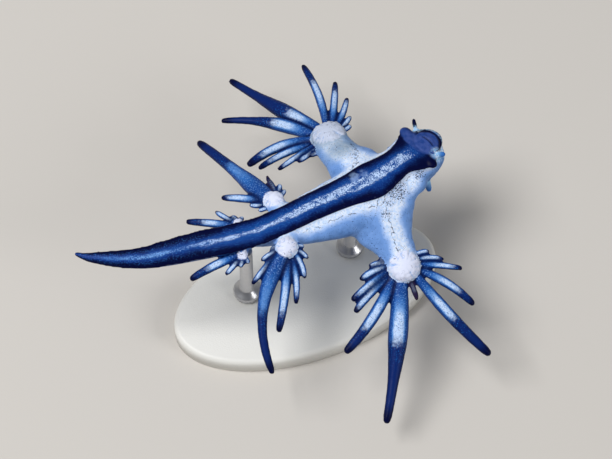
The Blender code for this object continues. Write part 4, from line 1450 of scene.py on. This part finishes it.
class SLUG_OT_rods(bpy.types.Operator):
    """Turn the two rods, each with its stepped ferrule on the base"""

    bl_idname = "slug.rods"
    bl_label = "Rods"

    def execute(self, context):
        looks = context.scene.slug_stand
        finish = steel_finish(looks)
        for label in ("rear", "front"):
            low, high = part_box("stand_rod_" + label)
            bm = self.spun(looks.rod_radius, low.z, high.z + ROD_SUNK * MM)
            bmesh.ops.translate(bm, vec=((low.x + high.x) / 2, (low.y + high.y) / 2, 0), verts=bm.verts)
            name = "stand_rod_" + label + "_turned"
            piece = placed(name, mesh_from(name, bm), finish)
            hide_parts("stand_rod_" + label)
        return {"FINISHED"}

    def spun(self, radius, foot, head):
        """A rod's profile turned once round its own axis."""
        wide, step, soft = (size * MM for size in (*FERRULE, ROD_SOFT))
        profile = [
            (0, foot),
            (wide, foot),
            (wide, foot + step - soft),
            (wide - soft, foot + step),
            (radius + 3 * soft, foot + step + soft),
            (radius + soft, foot + 2 * step - soft),
            (radius, foot + 2 * step),
            (radius, head - 4 * soft),
            (radius * ROD_END, head),
            (0, head),
        ]
        bm = bmesh.new()
        verts = [bm.verts.new((r, 0, z)) for r, z in profile]
        edges = [bm.edges.new(pair) for pair in zip(verts, verts[1:])]
        bmesh.ops.spin(
            bm,
            geom=verts + edges,
            cent=(0, 0, 0),
            axis=UP,
            angle=2 * math.pi,
            steps=ROD_SIDES,
            use_merge=True,
        )
        bmesh.ops.remove_doubles(bm, verts=bm.verts, dist=ROD_WELD)
        bmesh.ops.recalc_face_normals(bm, faces=bm.faces)
        return bm


class SLUG_OT_stage(bpy.types.Operator):
    """Set up the pale floor, the soft light and the camera"""

    bl_idname = "slug.stage"
    bl_label = "Stage"

    def execute(self, context):
        looks = context.scene.slug_stage
        self.lay_floor(looks)
        for name, share, size, place in LIGHTS:
            self.hang_light(name, looks.light * share, size, place)
        self.set_camera(context.scene)
        world = bpy.data.worlds.new("pale_sky")
        world.use_nodes = True
        sky = world.node_tree.nodes["Background"]
        sky.inputs["Color"].default_value = SKY_COLOUR
        sky.inputs["Strength"].default_value = looks.sky
        context.scene.world = world
        context.scene.view_settings.view_transform = "Standard"
        return {"FINISHED"}

    def lay_floor(self, looks):
        """A wide level floor under the stand."""
        bm = bmesh.new()
        bmesh.ops.create_grid(bm, x_segments=1, y_segments=1, size=FLOOR_REACH * MM)
        floor = linked("floor", mesh_from("floor", bm))
        floor.data.materials.append(floor_finish(looks))

    def hang_light(self, name, power, size, place):
        """A wide soft light aimed at the animal."""
        light = linked(name, bpy.data.lights.new(name, "AREA"))
        light.data.energy = power
        light.data.size = size * MM
        light.location = place
        light.rotation_euler = (Vector(place) - UP * FOOT_HEIGHT * MM).to_track_quat("Z", "Y").to_euler()

    def set_camera(self, scene):
        """The photo's view of the animal."""
        camera = linked("camera", bpy.data.cameras.new("camera"))
        camera.data.lens = CAMERA_LENS
        camera.data.clip_start = CAMERA_NEAREST
        lift = math.radians(CAMERA_ELEVATION)
        back = Vector((0, -math.cos(lift), math.sin(lift)))
        camera.location = (UP * FOOT_HEIGHT + back * CAMERA_AWAY) * MM
        camera.rotation_euler = back.to_track_quat("Z", "Y").to_euler()
        scene.camera = camera


STEPS = (SLUG_OT_base, SLUG_OT_rods, SLUG_OT_skin, SLUG_OT_stage)
GROUPS = {"slug_skin": SlugSkinLooks, "slug_stand": SlugStandLooks, "slug_stage": SlugStageLooks}


class SLUG_PT_pieces(bpy.types.Panel):
    """Lists the slug's pieces and their sizes and colours"""

    bl_label = "Slug"
    bl_idname = "SLUG_PT_pieces"
    bl_space_type = "VIEW_3D"
    bl_region_type = "UI"
    bl_category = "Slug"

    def draw(self, context):
        for step in STEPS:
            self.layout.operator(step.bl_idname)
        for group in (context.scene.slug_skin, context.scene.slug_stand, context.scene.slug_stage):
            box = self.layout.box()
            for name in group.__annotations__:
                box.prop(group, name)


KINDS = (*GROUPS.values(), *STEPS, SLUG_PT_pieces)


def register():
    """Makes the operators, the panel and the settings known to Blender."""
    for kind in KINDS:
        bpy.utils.register_class(kind)
    for name, group in GROUPS.items():
        setattr(bpy.types.Scene, name, PointerProperty(type=group))


def unregister():
    """Takes them away again."""
    for name in GROUPS:
        delattr(bpy.types.Scene, name)
    for kind in reversed(KINDS):
        bpy.utils.unregister_class(kind)


def main():
    """Builds everything in order."""
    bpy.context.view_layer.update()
    register()
    bpy.ops.slug.base()
    bpy.ops.slug.rods()
    bpy.ops.slug.skin()
    bpy.ops.slug.stage()


if __name__ == "__main__":
    main()
